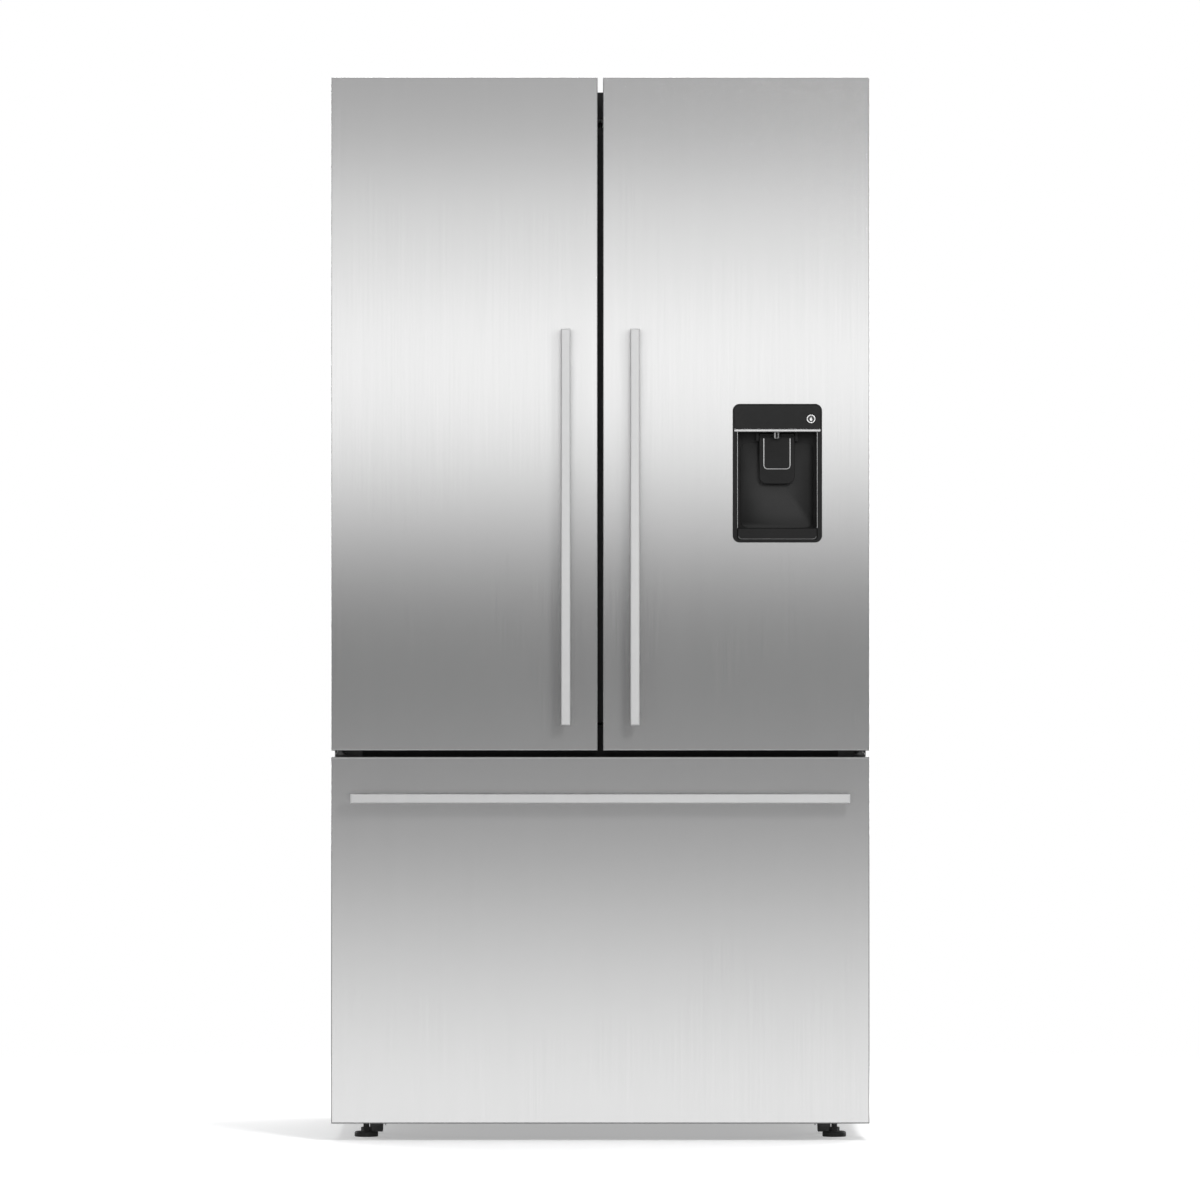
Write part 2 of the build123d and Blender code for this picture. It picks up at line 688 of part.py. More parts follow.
rollers = (("front_rollers", front_roller_y, roller_radius + front_roller_lift),
           ("rear_rollers", rear_roller_y, roller_radius))
for name, y, z in rollers:
    with BuildPart() as roller_pair:
        for side in (-1, 1):
            x = side * roller_x
            cross_rod(x - roller_width / 2, x + roller_width / 2, y, z, roller_radius)
        fillet(roller_pair.edges().filter_by(GeomType.CIRCLE), 2)
        for side in (-1, 1):
            x = side * roller_x
            cross_rod(x - roller_width / 2, x + roller_width / 2, y, z, axle_radius + stud_clearance,
                      Mode.SUBTRACT)
    save(roller_pair.part, name)

cheek = 2.0
cheek_half = 14.0
cheek_air = 3.0
with BuildPart() as roller_brackets:
    for _, y, z in rollers:
        for side in (-1, 1):
            x = side * roller_x
            reach = roller_width / 2 + cheek_air
            for end in (x - reach - cheek, x + reach):
                block(end, end + cheek, y - cheek_half, y + cheek_half, z - 2 * axle_radius, cabinet_base)
            block(x - reach - cheek, x + reach + cheek, y - cheek_half, y + cheek_half,
                  cabinet_base - cheek, cabinet_base)
            cross_rod(x - reach - cheek, x + reach + cheek, y, z, axle_radius)
    for side in (-1, 1):
        # A threaded boss holds each levelling foot.
        z_boss = cabinet_base - foot_boss_height
        rod(side * foot_x, foot_y, z_boss, cabinet_base, foot_boss_radius)
        rod(side * foot_x, foot_y, z_boss, cabinet_base, foot_stud_radius + stud_clearance, Mode.SUBTRACT)
save(roller_brackets.part, "roller_brackets")

# ---- Hinges on the cabinet -----------------------------------------------------------------
z_arm = z_roof + hinge_lift
z_notch = z_arm - hinge_room
pin_grip = 11.0
middle_pin = 16.0
hinge_tab = 32.0
plate_wide = 35.0  # hinge plate's inner edge to the pin
plate_narrow = 9.0  # and its outer edge
plate_depth = 90.0
cover_reach = 44.0  # cover's inner edge to the pin
cover_depth = 104.0
cover_wall = 2.5

with BuildPart() as door_hinges:
    for side in (-1, 1):
        low, high = sided(side, x_pin - hinge_arm / 2, x_pin + hinge_arm / 2)
        wide_low, wide_high = sided(side, x_pin - plate_wide, x_pin + plate_narrow)
        # Top hinge: a plate lifted off the roof, with the pin pointing down.
        block(low, high, y_pin, y_frame + 4, z_arm, z_arm + hinge_plate)
        rod(side * x_pin, y_pin, z_arm, z_arm + hinge_plate, hinge_arm / 2)
        block(wide_low, wide_high, y_frame + 4, y_frame + plate_depth, z_arm, z_arm + hinge_plate)
        block(wide_low, wide_high, y_frame + 24, y_frame + plate_depth, z_roof, z_arm)
        rod(side * x_pin, y_pin, z_notch - pin_grip, z_arm, hinge_pin_radius)
        # Middle hinge: a bracket on the frame's rail, with the pin pointing up.
        z_low = z_gap - hinge_plate / 2
        block(low, high, y_pin, y_frame, z_low, z_low + hinge_plate)
        rod(side * x_pin, y_pin, z_low, z_low + hinge_plate, hinge_arm / 2)
        block(wide_low, wide_high, y_frame - hinge_plate, y_frame,
              z_gap - hinge_tab / 2, z_gap + hinge_tab / 2)
        rod(side * x_pin, y_pin, z_low, z_door_low + middle_pin, hinge_pin_radius)
save(door_hinges.part, "door_hinges")

with BuildPart() as hinge_covers:
    cover_top = z_door_high - 2
    for side in (-1, 1):
        low, high = sided(side, x_pin - cover_reach, x_cabinet)
        block(low, high, y_frame - 6, y_frame + cover_depth, z_roof + 0.5, cover_top)
    fillet(hinge_covers.faces().sort_by(Axis.Z)[-2:].edges(), 4)
    for side in (-1, 1):
        low, high = sided(side, x_pin - cover_reach + cover_wall, x_cabinet - 1.5)
        block(low, high, y_frame - 6 + cover_wall, y_frame + cover_depth - cover_wall,
              z_roof + 0.5, cover_top - cover_wall, Mode.SUBTRACT)
        low, high = sided(side, x_pin - hinge_arm / 2 - 2, x_pin + hinge_arm / 2 + 2)
        block(low, high, y_frame - 7, y_frame, z_roof, z_arm + hinge_plate + 2, Mode.SUBTRACT)
save(hinge_covers.part, "hinge_covers")


# ---- Doors ---------------------------------------------------------------------------------
def hinge_notch(side, y_rear):
    """Cut away the door's top outer corner, where the top hinge's arm sweeps."""
    low, high = sided(side, x_pin - notch_inner, x_edge)
    block(low, high, y_face + notch_face, y_rear, z_notch, z_door_high, Mode.SUBTRACT)


def dispenser_cut(grow, y_low, y_high, mode=Mode.SUBTRACT):
    """The opening that the dispenser's tub goes through."""
    half_x = dispenser_width / 2 - dispenser_flange + grow
    half_z = dispenser_height / 2 - dispenser_flange + grow
    with BuildSketch(upright(y_low)) as opening:
        with Locations((dispenser_x, dispenser_z)):
            RectangleRounded(2 * half_x, 2 * half_z, dispenser_radius - dispenser_flange + grow)
    extrude(opening.sketch, amount=-(y_high - y_low), mode=mode)


def dike_ring(x_low, x_high, z_low, z_high, wall, y_low, y_high, mode=Mode.ADD):
    """The raised ring on a door's inner side, thinner by a wall on every side."""
    with BuildSketch(upright(y_low)) as ring:
        pane(x_low + wall, x_high - wall, z_low + wall, z_high - wall, dike_radius - wall)
        band = dike_band - wall
        pane(x_low + band, x_high - band, z_low + band, z_high - band,
             dike_radius / 2 + wall, Mode.SUBTRACT)
    extrude(ring.sketch, amount=-(y_high - y_low), mode=mode)


def seal_ring(x_low, x_high, z_low, z_high):
    """A magnetic gasket between its inner limits, with a grooved bellows foot."""
    with BuildSketch(upright(y_door_back)) as seal:
        width = gasket_width
        pane(x_low - width, x_high + width, z_low - width, z_high + width, width)
        pane(x_low, x_high, z_low, z_high, 2, Mode.SUBTRACT)
    extrude(seal.sketch, amount=-(gasket_gap - gasket_air))
    with BuildSketch(upright(y_door_back + seal_groove)) as rebate:
        width = gasket_width
        pane(x_low - width - 1, x_high + width + 1, z_low - width - 1, z_high + width + 1, width + 1)
        inset = width - seal_groove
        pane(x_low - inset, x_high + inset, z_low - inset, z_high + inset, inset, Mode.SUBTRACT)
    extrude(rebate.sketch, amount=-seal_groove, mode=Mode.SUBTRACT)


pocket_depth = cap_height - skin_sheet - cap_wall
dike_low = z_fridge_low + dike_margin
dike_high = z_fridge_high - dike_margin
x_dike = x_room - dike_margin
y_dike = y_door_back + dike_depth
bin_wall = 2.5
bin_air = 1.0
bin_height = 105.0
bin_corner = 14.0
bin_band = 12.0
bins_low = dike_low + dike_band
bins_high = dike_high - dike_band
bin_pitch = (bins_high - bins_low) / 3.25
bin_levels = [bins_low + 7 + place * bin_pitch for place in range(3)]
bin_counts = {-1: 3, 1: 2}  # the right door has the dairy tub in place of its third bin
bin_low_x = centre_dike + dike_band + bin_air
bin_high_x = x_dike - dike_band - bin_air
dairy_height = 92.0
dairy_depth = 92.0
lid_y = y_door_back + 5.5
lid_reach = 96.0
lid_z = bins_high - lid_reach - 7
dairy_low = lid_z - dairy_height - 8
lid_drop = 66.0
lid_wall = 2.5
lid_pin = 3.0


def door_bin(side, z_low, height, depth):
    """A clear bin hung between the dikes, in the part being built."""
    low, high = sided(side, bin_low_x, bin_high_x)
    y_low = y_door_back + bin_air
    with BuildSketch(Plane.XY.offset(z_low)) as plan:
        pane(low, high, y_low, y_low + depth)
        fillet(plan.vertices().group_by(Axis.Y)[-1], bin_corner)
    extrude(plan.sketch, amount=height)
    with BuildSketch(Plane.XY.offset(z_low + bin_wall)) as hollow:
        pane(low + bin_wall, high - bin_wall, y_low + bin_wall, y_low + depth - bin_wall)
        fillet(hollow.vertices().group_by(Axis.Y)[-1], bin_corner - bin_wall)
    extrude(hollow.sketch, amount=height, mode=Mode.SUBTRACT)
    # A raised band along the outer side stiffens the rim.
    y_out = y_low + depth
    block(low + 20, high - 20, y_out - 0.5, y_out + 2, z_low + height - bin_band, z_low + height)


for side, hand in ((-1, "left"), (1, "right")):
    x_low, x_high = sided(side, x_free, x_edge)
    inner_low, inner_high = x_low + skin_sheet, x_high - skin_sheet
    dike_x = sided(side, centre_dike, x_dike)

    with BuildPart() as door_skin:
        block(x_low, x_high, y_face, y_skin_back, z_door_low, z_door_high)
        fillet(door_skin.faces().sort_by(Axis.Y)[0].edges(), bend_radius)
        block(inner_low, inner_high, y_face + skin_sheet, y_skin_back,
              z_door_low + skin_sheet, z_door_high - skin_sheet, Mode.SUBTRACT)
        block(inner_low, inner_high, y_face + fold_depth, y_skin_back, z_door_low, z_door_high,
              Mode.SUBTRACT)
        hinge_notch(side, y_skin_back)
        if side > 0:
            dispenser_cut(skin_air, y_face, y_face + skin_sheet)
    save(door_skin.part, f"{hand}_door_skin")

    pocket_low, pocket_high = sided(side, x_free + skin_sheet + cap_wall, x_edge - cap_boss)
    with BuildPart() as door_caps:
        # Moulded caps close the door's top and bottom; their ends hold the hinge pins.
        for z_low, z_high, z_out, z_in in (
            (z_door_high - cap_height, z_door_high - skin_sheet, z_door_high, z_door_high - cap_height),
            (z_door_low + skin_sheet, z_door_low + cap_height, z_door_low, z_door_low + cap_height),
        ):
            block(inner_low, inner_high, y_face + skin_sheet, y_skin_back, z_low, z_high)
            block(inner_low, inner_high, y_face + fold_depth, y_skin_back,
                  min(z_out, z_low), max(z_out, z_high))
            pocket_floor = z_in + pocket_depth * (1 if z_out > z_in else -1)
            block(pocket_low, pocket_high, y_face + skin_sheet + cap_wall, y_skin_back,
                  min(z_in, pocket_floor), max(z_in, pocket_floor), Mode.SUBTRACT)
        hinge_notch(side, y_skin_back)
        bore = hinge_pin_radius + pin_clearance
        rod(side * x_pin, y_pin, z_door_high - cap_height, z_door_high, bore, Mode.SUBTRACT)
        rod(side * x_pin, y_pin, z_door_low, z_door_low + middle_pin + 2, bore, Mode.SUBTRACT)
    save(door_caps.part, f"{hand}_door_caps")

    with BuildPart() as door_foam:
        block(inner_low, inner_high, y_face + skin_sheet, y_skin_back,
              z_door_low + cap_height, z_door_high - cap_height)
        for z in (z_door_low + cap_height - pocket_depth, z_door_high - cap_height):
            block(pocket_low, pocket_high, y_face + skin_sheet + cap_wall, y_skin_back, z, z + pocket_depth)
        dike_ring(*dike_x, dike_low, dike_high, dike_wall, y_skin_back, y_dike - dike_wall)
        if side > 0:
            dispenser_cut(0.0, y_face, y_face + dispenser_depth + tub_wall)
    save(door_foam.part, f"{hand}_door_foam")

    with BuildPart() as door_liner:
        block(x_low, x_high, y_skin_back, y_door_back, z_door_low, z_door_high)
        dike_ring(*dike_x, dike_low, dike_high, 0.0, y_door_back, y_dike)
        fillet(door_liner.faces().sort_by(Axis.Y)[-1].edges(), 3)
        dike_ring(*dike_x, dike_low, dike_high, dike_wall, y_skin_back, y_dike - dike_wall, Mode.SUBTRACT)
        hinge_notch(side, y_door_back)
    save(door_liner.part, f"{hand}_door_liner")

    with BuildPart() as door_gasket:
        ring_low, ring_high = sided(side, x_free + gasket_centre + gasket_width, x_room + gasket_margin)
        seal_ring(ring_low, ring_high, z_fridge_low - gasket_margin, z_fridge_high + gasket_margin)
    save(door_gasket.part, f"{hand}_door_gasket")

    with BuildPart() as door_handle:
        bar_low, bar_high = sided(side, x_free + handle_from_edge, x_free + handle_from_edge + handle_width)
        z_bar = z_door_low + handle_low
        block(bar_low, bar_high, y_handle, y_handle + handle_thick, z_bar, z_bar + handle_length)
        fillet(door_handle.faces().sort_by(Axis.Y)[0].edges(), handle_edge)
        for z in (z_bar + handle_post, z_bar + handle_length - 2 * handle_post):
            block(bar_low + 1, bar_high - 1, y_handle + handle_thick - 1, y_face, z, z + handle_post)
    save(door_handle.part, f"{hand}_door_handle")

    with BuildPart() as door_bins:
        for level in bin_levels[:bin_counts[side]]:
            door_bin(side, level, bin_height, bin_depth)
        if side > 0:
            # The dairy compartment is a tub with ears for its lid's pins.
            door_bin(side, dairy_low, dairy_height, dairy_depth)
            for x in (bin_low_x, bin_high_x - bin_wall):
                block(x, x + bin_wall, y_door_back + bin_air, lid_y + 6, dairy_low, lid_z + 6)
                cross_rod(x - 1, x + bin_wall + 1, lid_y, lid_z, lid_pin + slack, Mode.SUBTRACT)
    save(door_bins.part, f"{hand}_door_bins")

with BuildPart() as dairy_lid:
    x_low, x_high = bin_low_x + bin_wall + 1, bin_high_x - bin_wall - 1
    block(x_low, x_high, lid_y, lid_y + lid_reach, lid_z + 0.5, lid_z + 0.5 + lid_wall)
    block(x_low, x_high, lid_y + lid_reach - lid_wall, lid_y + lid_reach, lid_z - lid_drop, lid_z + 0.5)
    fillet(dairy_lid.edges().filter_by(Axis.X).group_by(Axis.Z)[-1].group_by(Axis.Y)[-1], 2)
    cross_rod(bin_low_x + 0.5, bin_high_x - 0.5, lid_y, lid_z, lid_pin)
save(dairy_lid.part, "dairy_lid")

# ---- Folding mullion on the left door ------------------------------------------------------
knuckle_radius = 5.0
knuckle_height = 22.0
knuckle_levels = (z_flipper_low + 60, (z_flipper_low + z_flipper_high) / 2, z_flipper_high - 60)
flipper_pin = 2.5
flipper_bore_air = 0.1
bracket_air = 0.5

with BuildPart() as flipper_mullion:
    block(-flipper_half, flipper_half, y_frame, y_frame + flipper_thick, z_flipper_low, z_flipper_high)
    fillet(flipper_mullion.edges().filter_by(Axis.Z), 2)
    rod(0, flipper_y, z_flipper_high, z_flipper_high + guide_height - 5, guide_pin_radius)
    for z in knuckle_levels:
        rod(flipper_x, flipper_y, z, z + knuckle_height, knuckle_radius)
        block(flipper_x, -flipper_half + 1, flipper_y - 3, flipper_y + 3, z, z + knuckle_height)
    for z in knuckle_levels:
        rod(flipper_x, flipper_y, z, z + knuckle_height, flipper_pin + flipper_bore_air, Mode.SUBTRACT)
save(flipper_mullion.part, "flipper_mullion")

with BuildPart() as flipper_hinges:
    for z in knuckle_levels:
        for z_low in (z - bracket_air - 4, z + knuckle_height + bracket_air):
            rod(flipper_x, flipper_y, z_low, z_low + 4, knuckle_radius)
            block(flipper_x - knuckle_radius, flipper_x + knuckle_radius, y_door_back, flipper_y,
                  z_low, z_low + 4)
        rod(flipper_x, flipper_y, z - bracket_air - 4, z + knuckle_height + bracket_air + 4, flipper_pin)
        block(flipper_x - knuckle_radius, flipper_x + knuckle_radius, y_door_back, y_door_back + 3,
              z - bracket_air - 4, z + knuckle_height + bracket_air + 4)
save(flipper_hinges.part, "flipper_hinges")

# ---- Dispenser -----------------------------------------------------------------------------
disp_low_x = dispenser_x - dispenser_width / 2
disp_high_x = dispenser_x + dispenser_width / 2
disp_low_z = dispenser_z - dispenser_height / 2
disp_high_z = dispenser_z + dispenser_height / 2
y_rim = y_face - dispenser_proud
y_niche = y_face + dispenser_depth
niche_low_x = disp_low_x + dispenser_rim
niche_high_x = disp_high_x - dispenser_rim
niche_low_z = disp_low_z + 4.2
z_fascia = disp_high_z - fascia_height
z_strip = z_fascia - strip_height
y_paddle = y_niche - paddle_back
spout_y = y_face + 18.0
panel_inset = 2.4  # control panel's recess to the dispenser's edge
ear_thick = 4.0
pivot_radius = 2.5
pivot_drop = 7.0
tray_bars = 9

with BuildPart() as dispenser_housing:
    with BuildSketch(upright(y_face)):
        pane(disp_low_x, disp_high_x, disp_low_z, disp_high_z, dispenser_radius)
    extrude(amount=dispenser_proud)
    fillet(dispenser_housing.faces().sort_by(Axis.Y)[0].edges(), 1.2)
    dispenser_cut(0.0, y_face, y_niche + tub_wall, Mode.ADD)
    # The niche, with a recess above it for the control panel.
    with BuildSketch(upright(y_rim)):
        pane(niche_low_x, niche_high_x, niche_low_z, z_strip, 4)
    extrude(amount=-(y_niche - y_rim), mode=Mode.SUBTRACT)
    with BuildSketch(upright(y_rim)):
        pane(disp_low_x + panel_inset, disp_high_x - panel_inset, z_strip, disp_high_z - panel_inset)
    extrude(amount=-fascia_thick, mode=Mode.SUBTRACT)
    block(niche_low_x, niche_high_x, y_rim + fascia_thick, y_face + 30,
          z_strip + 3, disp_high_z - dispenser_rim, Mode.SUBTRACT)
    # Pivot ears for the paddle, high on the back of the niche.
    ear_near = paddle_width / 2 + 1
    for x in (dispenser_x - ear_near - ear_thick, dispenser_x + ear_near):
        block(x, x + ear_thick, y_paddle - 5, y_niche, z_strip - 2 * pivot_drop, z_strip)
        cross_rod(x, x + ear_thick, y_paddle, z_strip - pivot_drop, pivot_radius + slack / 2, Mode.SUBTRACT)
save(dispenser_housing.part, "dispenser_housing")

button_x = disp_high_x - button_from_edge
button_z = z_fascia + fascia_height * 0.4
panel_low_x = disp_low_x + panel_inset + slack
panel_high_x = disp_high_x - panel_inset - slack
with BuildPart() as dispenser_fascia:
    with BuildSketch(upright(y_rim + fascia_thick)):
        pane(panel_low_x, panel_high_x, z_fascia, disp_high_z - panel_inset - slack)
    extrude(amount=fascia_thick)
    fillet(dispenser_fascia.edges().filter_by(Axis.Y).group_by(Axis.Z)[-1], dispenser_radius - 3)
    with BuildSketch(upright(y_rim + fascia_thick)):
        with Locations((button_x, button_z)):
            Circle(button_radius + slack)
    extrude(amount=fascia_thick, mode=Mode.SUBTRACT)
save(dispenser_fascia.part, "dispenser_fascia")

with BuildPart() as dispenser_trim:
    # The bright strip under the control panel, and the water spout behind it.
    block(panel_low_x, panel_high_x, y_rim - 1.0, y_rim + fascia_thick, z_strip, z_fascia)
    fillet(dispenser_trim.edges().filter_by(Axis.X).group_by(Axis.Y)[0], 1.5)
    rod(dispenser_x - 1, spout_y, z_strip - spout_length, z_strip, spout_radius)
    rod(dispenser_x - 1, spout_y, z_strip - spout_length, z_strip - 2, spout_radius - 2, Mode.SUBTRACT)
save(dispenser_trim.part, "dispenser_trim")

with BuildPart() as dispenser_paddle:
    paddle_high = z_strip - 2
    with BuildSketch(upright(y_paddle + paddle_thick / 2)):
        with BuildLine():
            half = paddle_width / 2
            FilletPolyline(
                (dispenser_x - half, paddle_high),
                (dispenser_x - half, paddle_high - paddle_height),
                (dispenser_x + half, paddle_high - paddle_height),
                (dispenser_x + half, paddle_high),
                radius=12,
            )
            Line((dispenser_x + half, paddle_high), (dispenser_x - half, paddle_high))
        make_face()
    extrude(amount=paddle_thick)
    fillet(dispenser_paddle.faces().sort_by(Axis.Y)[0].edges(), 1)
    pivot_half = half + ear_thick + 0.5
    cross_rod(dispenser_x - pivot_half, dispenser_x + pivot_half, y_paddle, z_strip - pivot_drop,
              pivot_radius)
save(dispenser_paddle.part, "dispenser_paddle")

with BuildPart() as drip_tray:
    tray_low_x, tray_high_x = niche_low_x + slack, niche_high_x - slack
    tray_low = niche_low_z + slack
    tray_high = tray_low + tray_height - slack
    block(tray_low_x, tray_high_x, y_rim + 0.5, y_niche - 1, tray_low, tray_high)
    fillet(drip_tray.edges().filter_by(Axis.Y), 3)
    fillet(drip_tray.edges().filter_by(Axis.X).group_by(Axis.Y)[0].group_by(Axis.Z)[-1], 2)
    well_low_x, well_high_x = tray_low_x + 6, tray_high_x - 6
    block(well_low_x, well_high_x, y_face + 5, y_niche - 5, tray_low + 3, tray_high, Mode.SUBTRACT)
    for bar in range(tray_bars):
        # A row of ribs stands in the tray as its grille.
        x = well_low_x + (bar + 0.5) * (well_high_x - well_low_x) / tray_bars
        block(x - 1.2, x + 1.2, y_face + 5, y_niche - 5, tray_low + 2, tray_high - 2)
save(drip_tray.part, "drip_tray")

with BuildPart() as lock_button:
    button_back = y_rim + fascia_thick + 1.5
    deep_rod(button_x, y_rim - 0.8, button_back, button_z, button_radius)
    fillet(lock_button.faces().sort_by(Axis.Y)[0].edges(), 0.8)
save(lock_button.part, "lock_button")

# ---- Freezer drawer ------------------------------------------------------------------------
drawer_dike = 28.0  # leaves room beside the dike for the side arms
x_drawer_dike = x_room - drawer_dike
z_drawer_dike = (z_freezer_low + dike_margin, z_freezer_high - dike_margin)
arm_sheet = 2.0
arm_low = z_step + 10
arm_high = arm_low + 62
arm_flange = 14.0
x_arm = x_room - 22.0
runner_sheet = 2.0
runner_rail = 45.0
runner_low = arm_low + 10
runner_front = y_shell + 4.5
runner_back = y_cold - 14
member_air = 4.0
bin_rim = 3.0
basket_x = x_arm - arm_flange - 4.0
basket_front = y_dike + 6.5
basket_low = z_freezer_low + 20
basket_back = y_step - liner_wall - 8.5
tray_back = basket_back - 95.0
tray_bottom = arm_high - 40.0
tray_top = arm_high + 48.0

with BuildPart() as drawer_skin:
    block(-x_edge, x_edge, y_face, y_skin_back, z_drawer_low, z_drawer_high)
    fillet(drawer_skin.faces().sort_by(Axis.Y)[0].edges(), bend_radius)
    block(-x_edge + skin_sheet, x_edge - skin_sheet, y_face + skin_sheet, y_skin_back,
          z_drawer_low + skin_sheet, z_drawer_high - skin_sheet, Mode.SUBTRACT)
save(drawer_skin.part, "drawer_skin")

with BuildPart() as drawer_foam:
    block(-x_edge + skin_sheet, x_edge - skin_sheet, y_face + skin_sheet, y_skin_back,
          z_drawer_low + skin_sheet, z_drawer_high - skin_sheet)
    dike_ring(-x_drawer_dike, x_drawer_dike, *z_drawer_dike, dike_wall, y_skin_back, y_dike - dike_wall)
save(drawer_foam.part, "drawer_foam")

with BuildPart() as drawer_liner:
    block(-x_edge, x_edge, y_skin_back, y_door_back, z_drawer_low, z_drawer_high)
    dike_ring(-x_drawer_dike, x_drawer_dike, *z_drawer_dike, 0.0, y_door_back, y_dike)
    fillet(drawer_liner.faces().sort_by(Axis.Y)[-1].edges(), 3)
    dike_ring(-x_drawer_dike, x_drawer_dike, *z_drawer_dike, dike_wall, y_skin_back, y_dike - dike_wall,
              Mode.SUBTRACT)
save(drawer_liner.part, "drawer_liner")

with BuildPart() as drawer_gasket:
    seal_ring(-x_room - gasket_margin, x_room + gasket_margin, z_freezer_low - gasket_margin,
              z_freezer_high + gasket_margin)
save(drawer_gasket.part, "drawer_gasket")

with BuildPart() as drawer_handle:
    half = drawer_handle_length / 2
    z_low = z_drawer_high - drawer_handle_drop - handle_width / 2
    z_high = z_low + handle_width
    block(-half, half, y_handle, y_handle + handle_thick, z_low, z_high)
    fillet(drawer_handle.faces().sort_by(Axis.Y)[0].edges(), handle_edge)
    for side in (-1, 1):
        low, high = sided(side, half - handle_end, half - handle_post)
        block(low, high, y_handle + handle_thick - 1, y_face, z_low + 1, z_high - 1)
save(drawer_handle.part, "drawer_handle")

with BuildPart() as drawer_arms:
    for side in (-1, 1):
        # A folded side arm on the drawer front, with the inner member of the runner outside it.
        low, high = sided(side, x_arm, x_arm + arm_sheet)
        block(low, high, y_door_back, runner_back, arm_low, arm_high)
        low, high = sided(side, x_arm - arm_flange, x_arm)
        block(low, high, y_dike + 2, runner_back, arm_low, arm_low + arm_sheet)
        block(low, high, y_dike + 2, runner_back, arm_high - arm_sheet, arm_high)
        low, high = sided(side, x_arm + arm_sheet, x_room - 8)
        z_in_low = runner_low + runner_sheet + member_air / 2 + runner_sheet + 3
        z_in_high = runner_low + runner_rail - (z_in_low - runner_low)
        block(*sided(side, x_arm + arm_sheet, x_arm + 2 * arm_sheet), runner_front, runner_back,
              z_in_low, z_in_high)
        block(low, high, runner_front, runner_back, z_in_low, z_in_low + runner_sheet)
        block(low, high, runner_front, runner_back, z_in_high - runner_sheet, z_in_high)
save(drawer_arms.part, "drawer_arms")

with BuildPart() as runner_outer:
    for side in (-1, 1):
        block(*sided(side, x_room - runner_sheet, x_room), runner_front, runner_back,
              runner_low, runner_low + runner_rail)
        for z in (runner_low, runner_low + runner_rail - runner_sheet):
            block(*sided(side, x_room - 15, x_room), runner_front, runner_back, z, z + runner_sheet)
save(runner_outer.part, "runner_outer")

with BuildPart() as runner_middle:
    z_low = runner_low + runner_sheet + member_air / 2
    z_high = runner_low + runner_rail - runner_sheet - member_air / 2
    x_web = x_room - runner_sheet - 1.5
    for side in (-1, 1):
        block(*sided(side, x_web - runner_sheet, x_web), runner_front, runner_back, z_low, z_high)
        for z in (z_low, z_high - runner_sheet):
            block(*sided(side, x_web - 13, x_web), runner_front, runner_back, z, z + runner_sheet)
save(runner_middle.part, "runner_middle")


def freezer_tub(z_low, z_rim, z_high, y_low, y_high):
    """A freezer tub with side rims that rest on the arms' flanges, in the part being built."""
    block(-basket_x, basket_x, y_low, y_high, z_low, z_high)
    for side in (-1, 1):
        low, high = sided(side, basket_x - 1, x_arm - 2)
        block(low, high, y_low + 4, y_high - 4, z_rim, z_rim + bin_rim)
    with BuildSketch(Plane.XY.offset(z_low + bin_wall)) as hollow:
        pane(-basket_x + bin_wall, basket_x - bin_wall, y_low + bin_wall, y_high - bin_wall, 12)
    extrude(hollow.sketch, amount=z_high - z_low, mode=Mode.SUBTRACT)


with BuildPart() as freezer_bin:
    rim = arm_low + arm_sheet
    freezer_tub(basket_low, rim, rim + bin_rim, basket_front, basket_back)
save(freezer_bin.part, "freezer_bin")

with BuildPart() as freezer_tray:
    freezer_tub(tray_bottom, arm_high, tray_top, basket_front, tray_back)
save(freezer_tray.part, "freezer_tray")
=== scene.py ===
# %% [markdown]
# # A french door refrigerator with a folding mullion and a water dispenser
# The real object is a tall steel-fronted box: two doors above one wide freezer drawer. Its shape
# is already made, as a set of fixed parts that can move on their hinges and slides. This lesson
# dresses those parts: it sets up a studio, mixes a finish for every sheet, moulding and pane, and
# models the small pieces that give such an appliance its quality.

# %% Load the parts
import json
import math

import bmesh
import bpy
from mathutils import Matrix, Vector


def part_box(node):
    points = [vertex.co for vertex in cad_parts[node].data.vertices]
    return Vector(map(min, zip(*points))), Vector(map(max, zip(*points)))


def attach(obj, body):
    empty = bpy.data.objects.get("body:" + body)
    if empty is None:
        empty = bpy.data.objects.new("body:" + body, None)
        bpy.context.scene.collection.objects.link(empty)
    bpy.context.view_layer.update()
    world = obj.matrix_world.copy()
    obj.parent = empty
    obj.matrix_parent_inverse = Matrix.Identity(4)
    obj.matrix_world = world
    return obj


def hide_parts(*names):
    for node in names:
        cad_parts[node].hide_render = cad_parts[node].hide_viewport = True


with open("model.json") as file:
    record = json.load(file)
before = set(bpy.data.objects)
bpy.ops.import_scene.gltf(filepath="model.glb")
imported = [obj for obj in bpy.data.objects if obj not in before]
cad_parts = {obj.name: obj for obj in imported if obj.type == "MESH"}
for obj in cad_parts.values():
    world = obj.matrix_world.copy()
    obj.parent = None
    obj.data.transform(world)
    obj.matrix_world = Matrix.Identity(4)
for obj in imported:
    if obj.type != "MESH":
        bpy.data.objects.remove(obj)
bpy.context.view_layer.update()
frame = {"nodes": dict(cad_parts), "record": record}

# %% [markdown]
# ## Camera
# Kitchen appliances are shown flat on, like an elevation drawing, so that every gap stays
# straight. A long lens far away does that. A true orthographic camera would too, but with a real
# lens the handles still stand a little proud, as they do for the eye.

# %% Camera, straight on with a long lens
mm = 0.001
face_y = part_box("left_door_skin")[0].y
view_width = 2.006  # what fits across the picture at the door faces, in metres
view_height = 0.9054  # height of the lens above the floor
camera_x = -0.5 * mm
lens = 250.0
sensor = 36.0
camera_reach = lens / sensor * view_width

